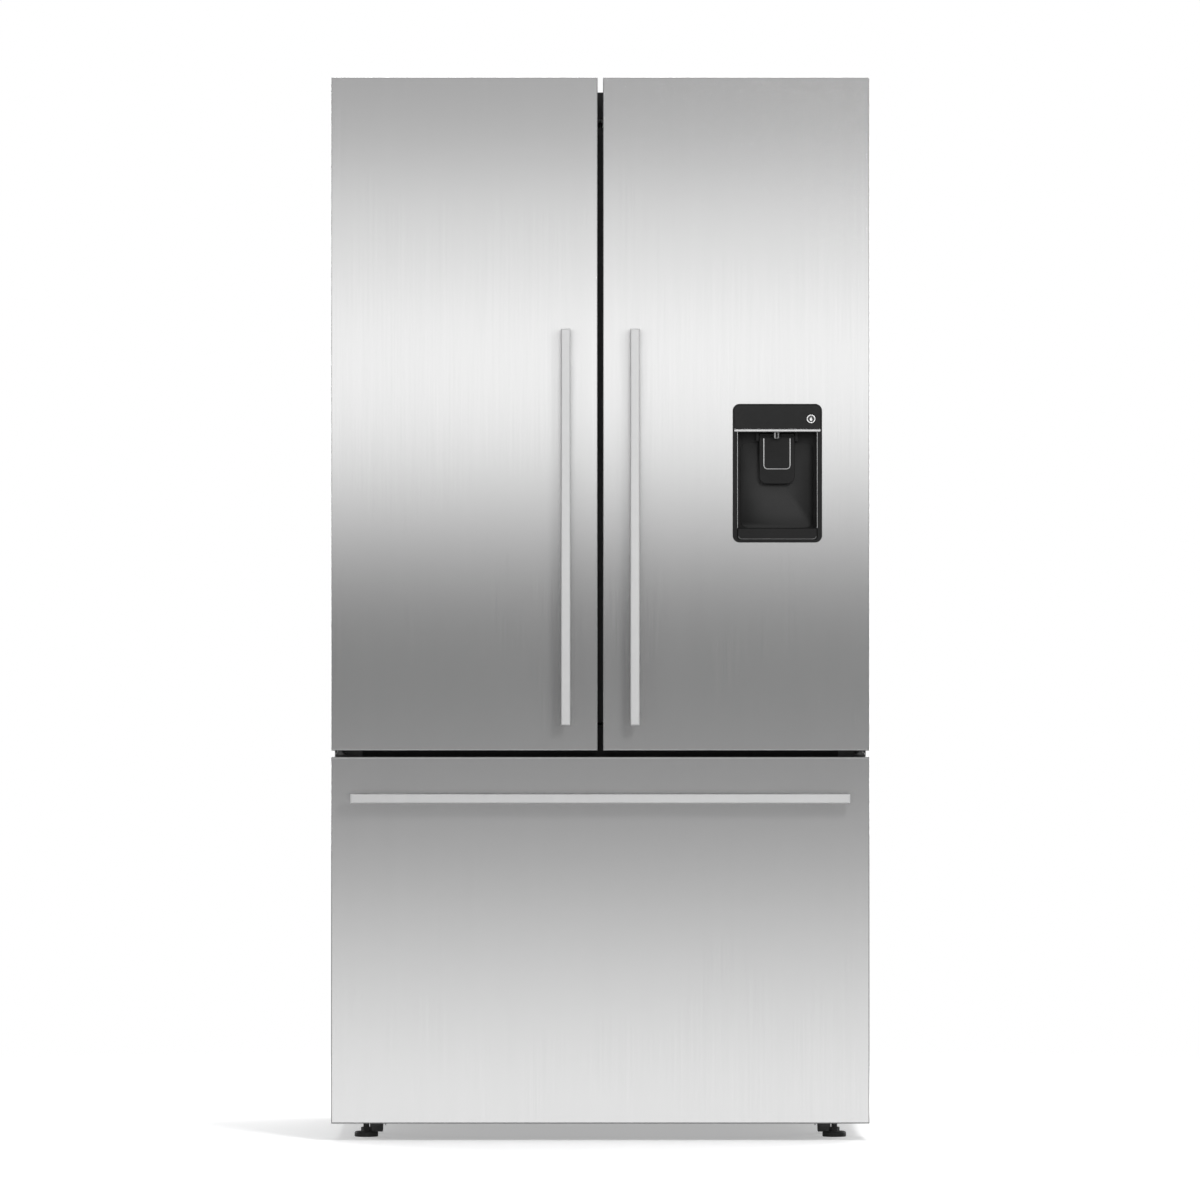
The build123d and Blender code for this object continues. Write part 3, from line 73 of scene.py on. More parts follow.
camera = bpy.data.objects.new("elevation_camera", bpy.data.cameras.new("elevation_camera"))
camera.data.lens = lens
camera.data.sensor_width = sensor
camera.data.clip_end = 100.0
camera.location = (camera_x, face_y - camera_reach, view_height)
camera.rotation_euler = (math.radians(90), 0, 0)
bpy.context.scene.collection.objects.link(camera)
bpy.context.scene.camera = camera
bpy.context.scene.view_settings.view_transform = "Standard"
print("camera stands", round(camera_reach, 2), "m in front of the doors")

# %% [markdown]
# ## The light wall
# Brushed steel shows whatever stands in front of it, smeared sideways by its grain. Its soft
# bands, bright at eye level, dark near the lower edges of the doors and bright again near the
# floor, are a lit studio wall that fades up and down. Painting the bands on the steel would be
# wrong, since they would stay put when a door swings. So a wall of light stands on the viewer's
# side of the room, and a colour ramp along its height makes the fades.

# %% A wall of light with fades along its height
wall_gap = 2.3  # from the door faces to the wall
wall_half = 2.6  # half its width
wall_low, wall_high = -0.35, 3.2
wall_power = 1.15
wall_spread = 1 + wall_gap / camera_reach  # a door's height, seen in the wall
wall_fades = [
    # height on the doors in metres, brightness of the wall there
    (-0.3, 1.08), (0.08, 1.08), (0.29, 0.76), (0.49, 0.41), (0.66, 0.23), (0.79, 0.16),
    (0.89, 0.19), (0.99, 0.45), (1.09, 0.81), (1.19, 1.15), (1.29, 1.23), (1.365, 1.22),
    (1.465, 0.97), (1.565, 0.86), (1.665, 0.54), (1.765, 0.42), (1.95, 0.38),
]


def wall_height(door_height):
    """Where on the wall the viewer sees a given height of the doors."""
    return view_height + (door_height - view_height) * wall_spread


def plane_mesh(name, corners):
    """A mesh of one four-sided face."""
    mesh = bpy.data.meshes.new(name)
    mesh.from_pydata(corners, [], [(0, 1, 2, 3)])
    return mesh


wall_y = face_y - wall_gap
wall_mesh = plane_mesh("light_wall", [
    (-wall_half, wall_y, wall_low), (wall_half, wall_y, wall_low),
    (wall_half, wall_y, wall_high), (-wall_half, wall_y, wall_high)])
light_wall = bpy.data.objects.new("light_wall", wall_mesh)
bpy.context.scene.collection.objects.link(light_wall)
light_wall.visible_camera = False
light_wall.visible_shadow = False

glow = bpy.data.materials.new("light_wall_glow")
glow.use_nodes = True
glow.node_tree.nodes.clear()
glow_spots = glow.node_tree.nodes.new("ShaderNodeTexCoord")
glow_split = glow.node_tree.nodes.new("ShaderNodeSeparateXYZ")
glow_place = glow.node_tree.nodes.new("ShaderNodeMapRange")
glow_ramp = glow.node_tree.nodes.new("ShaderNodeValToRGB")
glow_light = glow.node_tree.nodes.new("ShaderNodeEmission")
glow_out = glow.node_tree.nodes.new("ShaderNodeOutputMaterial")
glow_place.inputs["From Min"].default_value = wall_low
glow_place.inputs["From Max"].default_value = wall_high
join_glow = glow.node_tree.links.new
join_glow(glow_spots.outputs["Object"], glow_split.inputs[0])
join_glow(glow_split.outputs["Z"], glow_place.inputs["Value"])
join_glow(glow_place.outputs[0], glow_ramp.inputs[0])
join_glow(glow_ramp.outputs[0], glow_light.inputs["Color"])
join_glow(glow_light.outputs[0], glow_out.inputs["Surface"])
glow_light.inputs["Strength"].default_value = wall_power
stops = glow_ramp.color_ramp.elements
while len(stops) < len(wall_fades):
    stops.new(0.5)
for index, (height, _) in enumerate(wall_fades):
    stops[index].position = (wall_height(height) - wall_low) / (wall_high - wall_low)
for index, (_, shine) in enumerate(wall_fades):
    stops[index].color = (shine, shine, shine, 1)
wall_mesh.materials.append(glow)
print("light wall with", len(wall_fades), "fades")

# %% [markdown]
# ## Floor, room and softboxes
# The floor is plain and pale, and fades into the white room, so that only a soft shadow ties the
# appliance to it. It is left out of reflections, where it would draw a bright line along the
# lower edges of the doors. The key softbox stands a little to the right and above: it lays a thin
# shadow to the left of each upright handle and under the long one. Fill boxes light the sides,
# the back and the top.

# %% Floor that fades into the room
floor_half = 9.0
floor_lift = 0.35  # a little glow of its own, so that it meets the white room
fade_start, fade_end = 0.9, 2.6  # from the middle of the floor
floor_mesh = plane_mesh("studio_floor", [
    (-floor_half, -floor_half, 0), (floor_half, -floor_half, 0),
    (floor_half, floor_half, 0), (-floor_half, floor_half, 0)])
floor = bpy.data.objects.new("studio_floor", floor_mesh)
bpy.context.scene.collection.objects.link(floor)
floor.visible_glossy = False
pale = bpy.data.materials.new("pale_floor")
pale.use_nodes = True
pale_nodes = pale.node_tree.nodes
pale_link = pale.node_tree.links.new
pale_shader = pale_nodes["Principled BSDF"]
pale_shader.inputs["Base Color"].default_value = (0.86, 0.86, 0.86, 1)
pale_shader.inputs["Roughness"].default_value = 0.7
pale_shader.inputs["Specular IOR Level"].default_value = 0.2
pale_shader.inputs["Emission Color"].default_value = (1, 1, 1, 1)
only_seen = pale_nodes.new("ShaderNodeLightPath")
lift = pale_nodes.new("ShaderNodeMath")
lift.operation = "MULTIPLY"
lift.inputs[1].default_value = floor_lift
pale_link(only_seen.outputs["Is Camera Ray"], lift.inputs[0])
pale_link(lift.outputs[0], pale_shader.inputs["Emission Strength"])
fade_spots = pale_nodes.new("ShaderNodeTexCoord")
fade_length = pale_nodes.new("ShaderNodeVectorMath")
fade_length.operation = "LENGTH"
fade_range = pale_nodes.new("ShaderNodeMapRange")
fade_range.interpolation_type = "SMOOTHSTEP"
fade_range.inputs["From Min"].default_value = fade_start
fade_range.inputs["From Max"].default_value = fade_end
clear = pale_nodes.new("ShaderNodeBsdfTransparent")
fade_mix = pale_nodes.new("ShaderNodeMixShader")
pale_link(fade_spots.outputs["Object"], fade_length.inputs[0])
pale_link(fade_length.outputs["Value"], fade_range.inputs["Value"])
pale_link(fade_range.outputs[0], fade_mix.inputs[0])
pale_link(pale_shader.outputs[0], fade_mix.inputs[1])
pale_link(clear.outputs[0], fade_mix.inputs[2])
pale_link(fade_mix.outputs[0], pale_nodes["Material Output"].inputs["Surface"])
floor_mesh.materials.append(pale)
print("floor made")

# %% White room behind, softer light all round
room_light = 0.24  # how brightly the room lights dull parts
room_shine = 0.19  # how bright it is in reflections
room = bpy.data.worlds.new("studio_room")
bpy.context.scene.world = room
room.use_nodes = True
room_nodes = room.node_tree.nodes
room_link = room.node_tree.links.new
seen = room_nodes["Background"]
seen.inputs["Color"].default_value = (1, 1, 1, 1)
felt = room_nodes.new("ShaderNodeBackground")
felt.inputs["Color"].default_value = (0.97, 0.98, 1, 1)
path = room_nodes.new("ShaderNodeLightPath")
hush = room_nodes.new("ShaderNodeMapRange")
hush.inputs["To Min"].default_value = room_light
hush.inputs["To Max"].default_value = room_shine
room_link(path.outputs["Is Glossy Ray"], hush.inputs["Value"])
room_link(hush.outputs[0], felt.inputs["Strength"])
choice = room_nodes.new("ShaderNodeMixShader")
room_link(path.outputs["Is Camera Ray"], choice.inputs[0])
room_link(felt.outputs[0], choice.inputs[1])
room_link(seen.outputs[0], choice.inputs[2])
room_link(choice.outputs[0], room_nodes["World Output"].inputs["Surface"])


def softbox(name, at, aim, width, height, power, in_gloss=True):
    """A rectangular studio light that the camera doesn't see, in metres and watts."""
    lamp = bpy.data.lights.new(name, "AREA")
    lamp.shape = "RECTANGLE"
    lamp.size, lamp.size_y, lamp.energy = width, height, power
    stand = bpy.data.objects.new(name, lamp)
    stand.location = at
    stand.rotation_euler = (Vector(aim) - Vector(at)).to_track_quat("-Z", "Y").to_euler()
    stand.visible_camera = False
    stand.visible_glossy = in_gloss
    bpy.context.scene.collection.objects.link(stand)
    return stand


centre = (0, 0, 0.95)
key_aim = (0, face_y, 0.9)
softbox("key_softbox", (0.8, -2.6, 1.8), key_aim, 0.45, 0.45, 52, in_gloss=False)
softbox("left_softbox", (-3.0, 2.6, 1.6), centre, 1.6, 2.4, 70)
softbox("right_softbox", (3.0, 2.6, 1.6), centre, 1.6, 2.4, 80)
softbox("rear_softbox", (0.6, 4.2, 1.9), centre, 2.6, 2.2, 42)
softbox("top_softbox", (0, 0.5, 4.6), centre, 2.4, 2.0, 90)

# %% [markdown]
# ## A bench for mixing finishes
# Every finish starts the same way: a shader, coordinates that stick to the part, some noise, and
# that noise turned into a little colour change, a little roughness change and a little relief.
# Writing those four steps once keeps each recipe short. Image textures would need unwrapping and
# files; noise in object space needs neither, and its scale is in real metres.


# %% The mixing bench
class Finish:
    """A material being mixed, with its shader and the steps that most recipes share."""

    def __init__(self, name, colour, metallic=0.0, roughness=0.5, **more):
        self.material = bpy.data.materials.new(name)
        self.material.use_nodes = True
        self.nodes = self.material.node_tree.nodes
        self.link = self.material.node_tree.links.new
        self.surface = self.nodes["Principled BSDF"]
        self.spots = self.nodes.new("ShaderNodeTexCoord").outputs["Object"]
        self.set("Base Color", (*colour, 1))
        self.set("Metallic", metallic)
        self.set("Roughness", roughness)
        for socket, value in more.items():
            self.set(socket.replace("_", " "), value)

    def set(self, socket, value):
        self.surface.inputs[socket].default_value = value

    def noise(self, scale, detail=2.0):
        """Cloudy noise; scale is in lumps a metre, one number or one for each axis."""
        texture = self.nodes.new("ShaderNodeTexNoise")
        texture.inputs["Scale"].default_value = 1.0
        texture.inputs["Detail"].default_value = detail
        self.link(self.stretched(scale), texture.inputs["Vector"])
        return texture.outputs[0]

    def cells(self, scale):
        """Flat cells, each of its own grey; scale is in cells a metre."""
        texture = self.nodes.new("ShaderNodeTexVoronoi")
        texture.inputs["Scale"].default_value = 1.0
        self.link(self.stretched(scale), texture.inputs["Vector"])
        split = self.nodes.new("ShaderNodeSeparateColor")
        self.link(texture.outputs["Color"], split.inputs[0])
        return split.outputs[0]

    def stretched(self, scale):
        place = self.nodes.new("ShaderNodeMapping")
        each = (scale,) * 3 if isinstance(scale, (int, float)) else scale
        place.inputs["Scale"].default_value = each
        self.link(self.spots, place.inputs["Vector"])
        return place.outputs[0]

    def tint(self, pattern, dark, light, low=0.3, high=0.7):
        """Base colour between two shades, led by a pattern."""
        ramp = self.nodes.new("ShaderNodeValToRGB")
        first, last = ramp.color_ramp.elements
        first.position, last.position = low, high
        first.color, last.color = (*dark, 1), (*light, 1)
        self.link(pattern, ramp.inputs[0])
        self.link(ramp.outputs[0], self.surface.inputs["Base Color"])
        return self

    def dull(self, pattern, low, high):
        """Roughness between two values, led by a pattern."""
        spread = self.nodes.new("ShaderNodeMapRange")
        limits = {"From Min": 0.3, "From Max": 0.7, "To Min": low, "To Max": high}
        for socket, value in limits.items():
            spread.inputs[socket].default_value = value
        self.link(pattern, spread.inputs["Value"])
        self.link(spread.outputs[0], self.surface.inputs["Roughness"])
        return self

    def relief(self, pattern, depth, strength=1.0):
        """A bump as deep as depth, in metres."""
        bump = self.nodes.new("ShaderNodeBump")
        bump.inputs["Distance"].default_value = depth
        bump.inputs["Strength"].default_value = strength
        self.link(pattern, bump.inputs["Height"])
        self.link(bump.outputs[0], self.surface.inputs["Normal"])
        return self


finishes = {}


def grey(level, warm=0.0):
    """A near-neutral colour, a touch warm or cold."""
    return (level * (1 + warm), level, level * (1 - warm))


print("bench ready")

# %% [markdown]
# ## Brushed steel
# The doors are thin steel brushed from top to bottom and sealed with a clear film. The scratches
# are far finer than a millimetre, so modelling them is out of the question. Two things carry the
# look: anisotropy, which smears reflections across the grain, and long thin noise for the few
# streaks that the eye does catch. The handles are the same steel, blasted to a finer satin.


# %% Brushed and satin steel
def brushed(name, colour, metallic, rough, grain, streak, sideways):
    """Steel with a grain: streaks are long along one axis and fine along the others."""
    finish = Finish(name, colour, metallic=metallic, Anisotropic=sideways)
    fine = finish.noise(grain, 3.0)
    broad = finish.noise(streak, 2.0)
    streak_dark, streak_light = 0.988, 1.012
    finish.tint(broad, [c * streak_dark for c in colour], [c * streak_light for c in colour])
    finish.dull(fine, rough - 0.02, rough + 0.03)
    finish.relief(fine, 0.012 * mm, 0.15)
    tangent = finish.nodes.new("ShaderNodeTangent")
    tangent.direction_type = "RADIAL"
    tangent.axis = "Z"
    finish.link(tangent.outputs[0], finish.surface.inputs["Tangent"])
    return finish.material


finishes["door_steel"] = brushed(
    "brushed_door_steel", grey(0.66), 0.9, 0.20, (1500, 1500, 9), (420, 420, 3), 0.8)
finishes["handle_steel"] = brushed(
    "satin_handle_steel", grey(0.59), 0.42, 0.38, (1300, 1300, 900), (60, 60, 60), 0.3)
finishes["hinge_steel"] = brushed(
    "black_zinc_hinge_steel", grey(0.12), 0.8, 0.42, (900, 900, 900), (90, 90, 90), 0.1)
print("steels", len(finishes))

# %% [markdown]
# ## Zinc sheet and painted sheet
# Hidden metalwork, such as the back, the base and the runners, is galvanised: the zinc freezes in
# flat crystals, each of its own grey, which cell noise gives at once. The cabinet is coated steel
# with a fine orange-peel texture, which is noise as relief rather than as colour.


# %% Galvanised sheet
def galvanised():
    finish = Finish("galvanised_sheet", grey(0.6), metallic=0.9, roughness=0.4)
    crystals = finish.cells(95)
    finish.tint(crystals, grey(0.53), grey(0.62), 0.1, 0.9)
    finish.dull(finish.noise(160), 0.3, 0.46)
    return finish.material


finishes["zinc_steel"] = galvanised()


# %% Coated sheet with orange peel
def coated(name, dark, light, rough, peel, depth, **more):
    finish = Finish(name, dark, roughness=rough, **more)
    finish.tint(finish.noise(11, 3), dark, light)
    finish.dull(finish.noise(300), rough - 0.05, rough + 0.06)
    finish.relief(finish.noise(peel, 2), depth)
    return finish.material


# Each is: name, darker and lighter shade, roughness, lumps a metre, depth of the lumps.
finishes["cabinet_paint"] = coated(
    "black_cabinet_coat", grey(0.029), grey(0.033), 0.46, 900, 0.10 * mm)
finishes["white_steel"] = coated(
    "white_epoxy_coat", grey(0.78), grey(0.84), 0.35, 700, 0.05 * mm)
finishes["compressor_paint"] = coated(
    "black_enamel", grey(0.012), grey(0.02), 0.28, 260, 0.12 * mm,
    Coat_Weight=0.4, Coat_Roughness=0.2)
print("sheets", len(finishes))

# %% [markdown]
# ## Mouldings
# Liners, caps, trays and housings are moulded or vacuum-formed plastic. Up close they all differ:
# a liner is glossy with a slow waviness from forming, a cap has a spark-eroded texture, rubber is
# dull with fine drag lines. One recipe with a few numbers covers them, because what changes is
# only how large and deep the texture is, and how much gloss sits on it.


# %% Opaque plastics and rubber
def moulded(name, dark, light, rough, texture, depth, **more):
    """Plastic whose surface texture has a given size, in lumps a metre, and depth."""
    finish = Finish(name, dark, roughness=rough, **more)
    finish.tint(finish.noise(17, 2), dark, light)
    finish.dull(finish.noise(texture * 0.4), rough * 0.88, min(rough * 1.14, 1.0))
    finish.relief(finish.noise(texture, 2), depth)
    return finish.material


# Each is: name, darker and lighter shade, roughness, lumps a metre, depth of the lumps.
finishes["liner_white"] = moulded(
    "vacuum_formed_liner", grey(0.80), grey(0.83), 0.3, 40, 0.03 * mm,
    Coat_Weight=0.25, Coat_Roughness=0.15)
finishes["trim_white"] = moulded(
    "shelf_frame_plastic", (0.74, 0.77, 0.79), (0.79, 0.82, 0.84), 0.24, 420, 0.02 * mm)
finishes["cap_plastic"] = moulded(
    "textured_cap_plastic", grey(0.035), grey(0.045), 0.55, 1500, 0.08 * mm)
finishes["mullion_plastic"] = moulded(
    "mullion_plastic", grey(0.03), grey(0.04), 0.42, 1100, 0.05 * mm)
finishes["fitting_plastic"] = moulded(
    "valve_plastic", grey(0.62, 0.02), grey(0.7, 0.02), 0.45, 600, 0.05 * mm)
finishes["motor_plastic"] = moulded(
    "motor_plastic", grey(0.03), grey(0.05), 0.5, 900, 0.06 * mm)
finishes["fan_plastic"] = moulded(
    "fan_plastic", grey(0.05), grey(0.07), 0.42, 800, 0.04 * mm)
finishes["foot_plastic"] = moulded(
    "foot_nylon", grey(0.035), grey(0.05), 0.6, 1200, 0.08 * mm)
finishes["roller_plastic"] = moulded(
    "roller_nylon", grey(0.09), grey(0.12), 0.5, 700, 0.08 * mm)
finishes["gasket"] = moulded(
    "gasket_vinyl", grey(0.13), grey(0.17), 0.66, 500, 0.06 * mm,
    Sheen_Weight=0.12, Sheen_Roughness=0.5)
print("mouldings", len(finishes))

# %% [markdown]
# ## Dispenser plastics and chrome
# The dispenser is black on black: a satin tub, a glossier control panel, and thin plated lines.
# Its blacks differ only in gloss and grain, so each gets its own roughness and texture. Plated
# parts are a soft mirror, with the faintest ripple from the plastic underneath. Three finishes
# are for one piece each: a smoked plating for the tray's foot line, a printed silver for the
# button, and a slightly lighter black for the back panel of the niche, which is painted light:
# it stands in for the panel lit below the shaded top of the niche.

# %% Dispenser finishes
finishes["dispenser_black"] = moulded(
    "satin_black_tub", grey(0.007), grey(0.009), 0.42, 1600, 0.03 * mm,
    Specular_IOR_Level=0.3)
finishes["dispenser_gloss"] = moulded(
    "gloss_black_panel", grey(0.005), grey(0.007), 0.24, 500, 0.006 * mm,
    Specular_IOR_Level=0.28)
finishes["button_ring"] = moulded(
    "button_black", grey(0.012), grey(0.018), 0.18, 900, 0.006 * mm,
    Coat_Weight=0.6, Coat_Roughness=0.05)


def plated(name, level, rough):
    """Chrome on plastic: a soft mirror with a slight ripple."""
    finish = Finish(name, grey(level), metallic=1.0, roughness=rough)
    ripple = finish.noise((130, 130, 130), 2)
    finish.tint(ripple, grey(level * 0.96), grey(level * 1.02))
    finish.dull(finish.noise(700), rough * 0.8, rough * 1.3)
    finish.relief(ripple, 0.02 * mm)
    return finish.material


finishes["dispenser_chrome"] = plated("bright_plating", 0.64, 0.20)
smoked_plating = plated("smoked_plating", 0.30, 0.30)
printed_silver = moulded(
    "printed_silver", grey(0.66), grey(0.74), 0.35, 2000, 0.004 * mm)
# Painted light: a lighter black than the tub's, standing in for the lit back panel below the shaded
# top of the niche.
niche_panel_lit_black = moulded(
    "niche_black_painted_light", grey(0.017), grey(0.020), 0.48, 1400, 0.02 * mm)
print("dispenser finishes ready")

# %% [markdown]
# ## Clear parts, coils and foam
# Glass shelves are soda glass, whose edges look green; bins and crispers are clear styrene, with a
# hint of blue and soft flow marks; freezer tubs are the same, but frosted. All three let light
# through, which the transmission weight does. Coils are mill aluminium, and foam is full of cells.


# %% Clear finishes
def clear_part(name, colour, rough, through, ior, flow, depth):
    """Glass or clear plastic; through is the share of light that passes, flow its marks' size."""
    finish = Finish(name, colour, roughness=rough, Transmission_Weight=through, IOR=ior)
    marks = finish.noise(flow, 2)
    finish.tint(marks, [c * 0.97 for c in colour], colour)
    finish.dull(finish.noise(150), rough * 0.8, rough * 1.25)
    finish.relief(marks, depth)
    return finish.material


finishes["shelf_glass"] = clear_part(
    "shelf_glass", (0.83, 0.95, 0.90), 0.03, 0.96, 1.51, (7, 7, 7), 0.02 * mm)
finishes["clear_plastic"] = clear_part(
    "clear_styrene", (0.90, 0.95, 0.97), 0.07, 0.88, 1.57, (14, 14, 9), 0.05 * mm)
finishes["freezer_plastic"] = clear_part(
    "frosted_styrene", (0.86, 0.90, 0.93), 0.32, 0.55, 1.54, (60, 60, 60), 0.004 * mm)


# %% Lamp lens, fins and foam
def lamp_lens():
    finish = Finish("opal_lamp_lens", (0.95, 0.95, 0.92), roughness=0.3)
    ribs = finish.noise((260, 6, 6), 1)
    finish.tint(ribs, (0.90, 0.90, 0.87), (0.97, 0.97, 0.94))
    finish.relief(ribs, 0.25 * mm)
    finish.set("Emission Color", (1.0, 0.96, 0.88, 1))
    finish.set("Emission Strength", 3.0)
    return finish.material


def mill_aluminium():
    finish = Finish("mill_aluminium", grey(0.72), metallic=0.95, roughness=0.34)
    rolling = finish.noise((300, 12, 12), 3)
    finish.tint(rolling, grey(0.62), grey(0.76))
    finish.dull(rolling, 0.28, 0.44)
    finish.relief(rolling, 0.02 * mm)
    return finish.material


def cellular_foam():
    finish = Finish("polyurethane_foam", (0.74, 0.64, 0.38), roughness=0.9)
    bubbles = finish.cells(420)
    finish.tint(bubbles, (0.62, 0.52, 0.28), (0.80, 0.70, 0.45), 0.0, 1.0)
    finish.relief(bubbles, 0.8 * mm)
    return finish.material


finishes["lamp_lens"] = lamp_lens()
finishes["coil_aluminium"] = mill_aluminium()
finishes["foam"] = cellular_foam()
print("all finishes", len(finishes))

# %% [markdown]
# ## Dressing the fixed parts
# Each part already says which finish it takes, in its record, so one loop dresses them all. Doing
# it by hand would work for ten parts, but not for sixty.

# %% Give every part its finish
for part in frame["record"]["subparts"]:
    skin = frame["nodes"][part["node"]].data
    skin.materials.clear()
    skin.materials.append(finishes[part["material_slot"]])

# %% [markdown]
# ## Tools for small pieces
# The extra pieces need three ways of building: rings of points joined by faces, for seals and
# screws; round beads along a line, for plated trims; and slabs with softened edges, for strips.
# Curves could do the beads and modifiers the softening, but plain meshes export as they are.


# %% Build a mesh from rings of points
def add_rings(mesh, rings, loop):
    """Joins rings of equal length into a skin; a loop closes on itself, and others get ends."""
    rows = [[mesh.verts.new(spot) for spot in ring] for ring in rings]
    count = len(rows[0])
    pairs = list(zip(rows, rows[1:] + rows[:1])) if loop else list(zip(rows, rows[1:]))
    for near, far in pairs:
        for index in range(count):
            after = (index + 1) % count
            mesh.faces.new((near[index], near[after], far[after], far[index]))
    if not loop:
        mesh.faces.new(rows[0])
        mesh.faces.new(rows[-1])


def finish_mesh(name, mesh, smooth_angle=40):
    """Turns the working mesh into a stored one, smooth except across its sharp edges."""
    bmesh.ops.recalc_face_normals(mesh, faces=mesh.faces)
    for face in mesh.faces:
        face.smooth = True
    limit = math.radians(smooth_angle)
    for edge in mesh.edges:
        edge.smooth = not (edge.is_manifold and edge.calc_face_angle(0) > limit)
    stored = bpy.data.meshes.new(name)
    mesh.to_mesh(stored)
    mesh.free()
    return stored


def show(name, mesh, body, slot_name, finish=None):
    """Puts a mesh in the scene as a piece of the refrigerator, on its body and in its finish.

    finish is for a piece whose look differs a little from the rest of its slot.
    """
    piece = bpy.data.objects.new(name, mesh)
    bpy.context.scene.collection.objects.link(piece)
    mesh.materials.append(finish or finishes[slot_name])
    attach(piece, body)
    print(name, len(mesh.polygons), "faces on", body)
    return piece


# %% Upright rounded rectangles and beads
def rounded_path(x_low, x_high, z_low, z_high, radius, steps=6):
    """Once round an upright rectangle with round corners, as (x, z) points."""
    corners = (
        (x_high - radius, z_high - radius, 0), (x_low + radius, z_high - radius, 90),
        (x_low + radius, z_low + radius, 180), (x_high - radius, z_low + radius, 270))
    spots = []
    for x, z, start in corners:
        for step in range(steps + 1):
            turn = math.radians(start + 90 * step / steps)
            spots.append((x + radius * math.cos(turn), z + radius * math.sin(turn)))
    return spots


def bead_mesh(name, lines, thick, flat=1.0, sides=10):
    """Round beads along lines that lie in an upright plane.

    thick is half a bead's width, and flat squashes the beads towards the plane.
    """
    mesh = bmesh.new()
    for spots, closed in lines:
        spots = [Vector(s) for s in spots]
        rings = []
        for index, spot in enumerate(spots):
            before = spots[index - 1] if closed or index else spot
            after = spots[(index + 1) % len(spots)] if closed or index < len(spots) - 1 else spot
            along = (after - before).normalized()
            across = along.cross(Vector((0, 1, 0))).normalized()
            ring = []
            for side in range(sides):
                turn = 2 * math.pi * side / sides
                ring.append(spot + across * thick * math.cos(turn)
                            + Vector((0, thick * flat * math.sin(turn), 0)))
            rings.append(ring)
        add_rings(mesh, rings, closed)
    return finish_mesh(name, mesh)


def slab_mesh(name, boxes, edge, rounds=2):
    """Slabs between pairs of corners, with softened edges."""
    mesh = bmesh.new()
    for low, high in boxes:
        made = bmesh.ops.create_cube(mesh, size=1.0)["verts"]
        for vert in made:
            for axis in range(3):
                vert.co[axis] = high[axis] if vert.co[axis] > 0 else low[axis]
    bmesh.ops.bevel(mesh, geom=list(mesh.edges), offset=edge, segments=rounds, affect="EDGES",
                    profile=0.5)
    return finish_mesh(name, mesh)


print("tools ready")

# %% [markdown]
# ## Magnetic gaskets
# The seal round each door is a soft vinyl extrusion: a foot held in a groove of the liner, a thin
# bellows, and a flat bar with the magnet in it, which meets the cabinet. Its section is the same
# all the way round, so sweeping one outline round a rounded rectangle gives the whole seal, with
# folds that a plain frame wouldn't have.

# %% Bellows gaskets in place of the plain rings
seal_outline = (  # (in from the outer edge, away from the door), in millimetres
    (4.0, 0.0), (12.0, 0.0), (12.4, 2.2), (10.6, 3.2), (13.4, 4.4), (13.8, 5.2), (11.2, 6.4),
    (11.0, 7.0), (15.2, 7.4), (15.9, 8.2), (15.9, 10.8), (15.2, 11.6), (8.6, 11.6), (8.0, 11.2),
    (7.4, 11.6), (0.8, 11.6), (0.1, 10.8), (0.1, 8.2), (0.8, 7.4), (5.0, 7.0), (4.8, 6.4),
    (2.2, 5.2), (2.6, 4.4), (5.4, 3.2), (3.6, 2.2))


def gasket(node, body):
    """A seal as large as the plain ring of a door or drawer, which it replaces."""
    low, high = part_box(node)
    corner = 16.5  # just over the outline's width, so that the innermost corner stays round
    rings = []
    for inset, depth in seal_outline:
        round_path = rounded_path(low.x + inset * mm, high.x - inset * mm, low.z + inset * mm,
                                  high.z - inset * mm, (corner - inset) * mm)
        rings.append([(x, low.y + depth * mm, z) for x, z in round_path])
    mesh = bmesh.new()
    add_rings(mesh, rings, True)
    piece = show(f"{body}_seal", finish_mesh(f"{body}_seal", mesh, smooth_angle=50), body, "gasket")
    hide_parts(node)


gasket("left_door_gasket", "left_door")
gasket("right_door_gasket", "right_door")
gasket("drawer_gasket", "drawer")

# %% [markdown]
# ## Plated lines of the dispenser
# Thin bright lines outline the niche: one down each side, and a darker one along the foot of the
# drip tray. On the real one they are plated inserts. Strips with square edges would look painted
# on; round beads along short lines catch the light wall as the real ones do.

# %% Niche side lines and the tray's foot line
housing_low, housing_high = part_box("dispenser_housing")
tray_low, tray_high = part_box("drip_tray")
panel_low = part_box("dispenser_fascia")[0]
line_gap = 5.4 * mm  # from the control panel's lower edge to the tops of the side lines
line_inset = 0.2 * mm
line_sunk = 0.6 * mm
line_thick = 0.7 * mm
line_front = housing_low.y + line_sunk
line_top = panel_low.z - line_gap
side_lines = []
for x in (tray_low.x + line_inset, tray_high.x - line_inset):
    side_lines.append(([(x, line_front, tray_high.z), (x, line_front, line_top)], False))
show("niche_side_lines", bead_mesh("niche_side_lines", side_lines, line_thick), "right_door",
     "dispenser_chrome")

foot_inset = 1.5 * mm
foot_lift = 1.2 * mm
foot_sunk = 0.1 * mm
foot_thick = 0.8 * mm
foot_radius = 6.0 * mm
round_height = 40 * mm  # only the lower end of this rectangle is kept
foot_round = rounded_path(tray_low.x + foot_inset, tray_high.x - foot_inset,
                          tray_low.z + foot_lift, tray_high.z + round_height, foot_radius)
foot_line = []
for x, z in foot_round:
    if z < tray_low.z + foot_radius:
        foot_line.append((x, tray_low.y + foot_sunk, z))
foot_line.sort(key=lambda spot: spot[0])
show("tray_foot_line", bead_mesh("tray_foot_line", [(foot_line, False)], foot_thick),
     "drip_tray", "dispenser_chrome", smoked_plating)
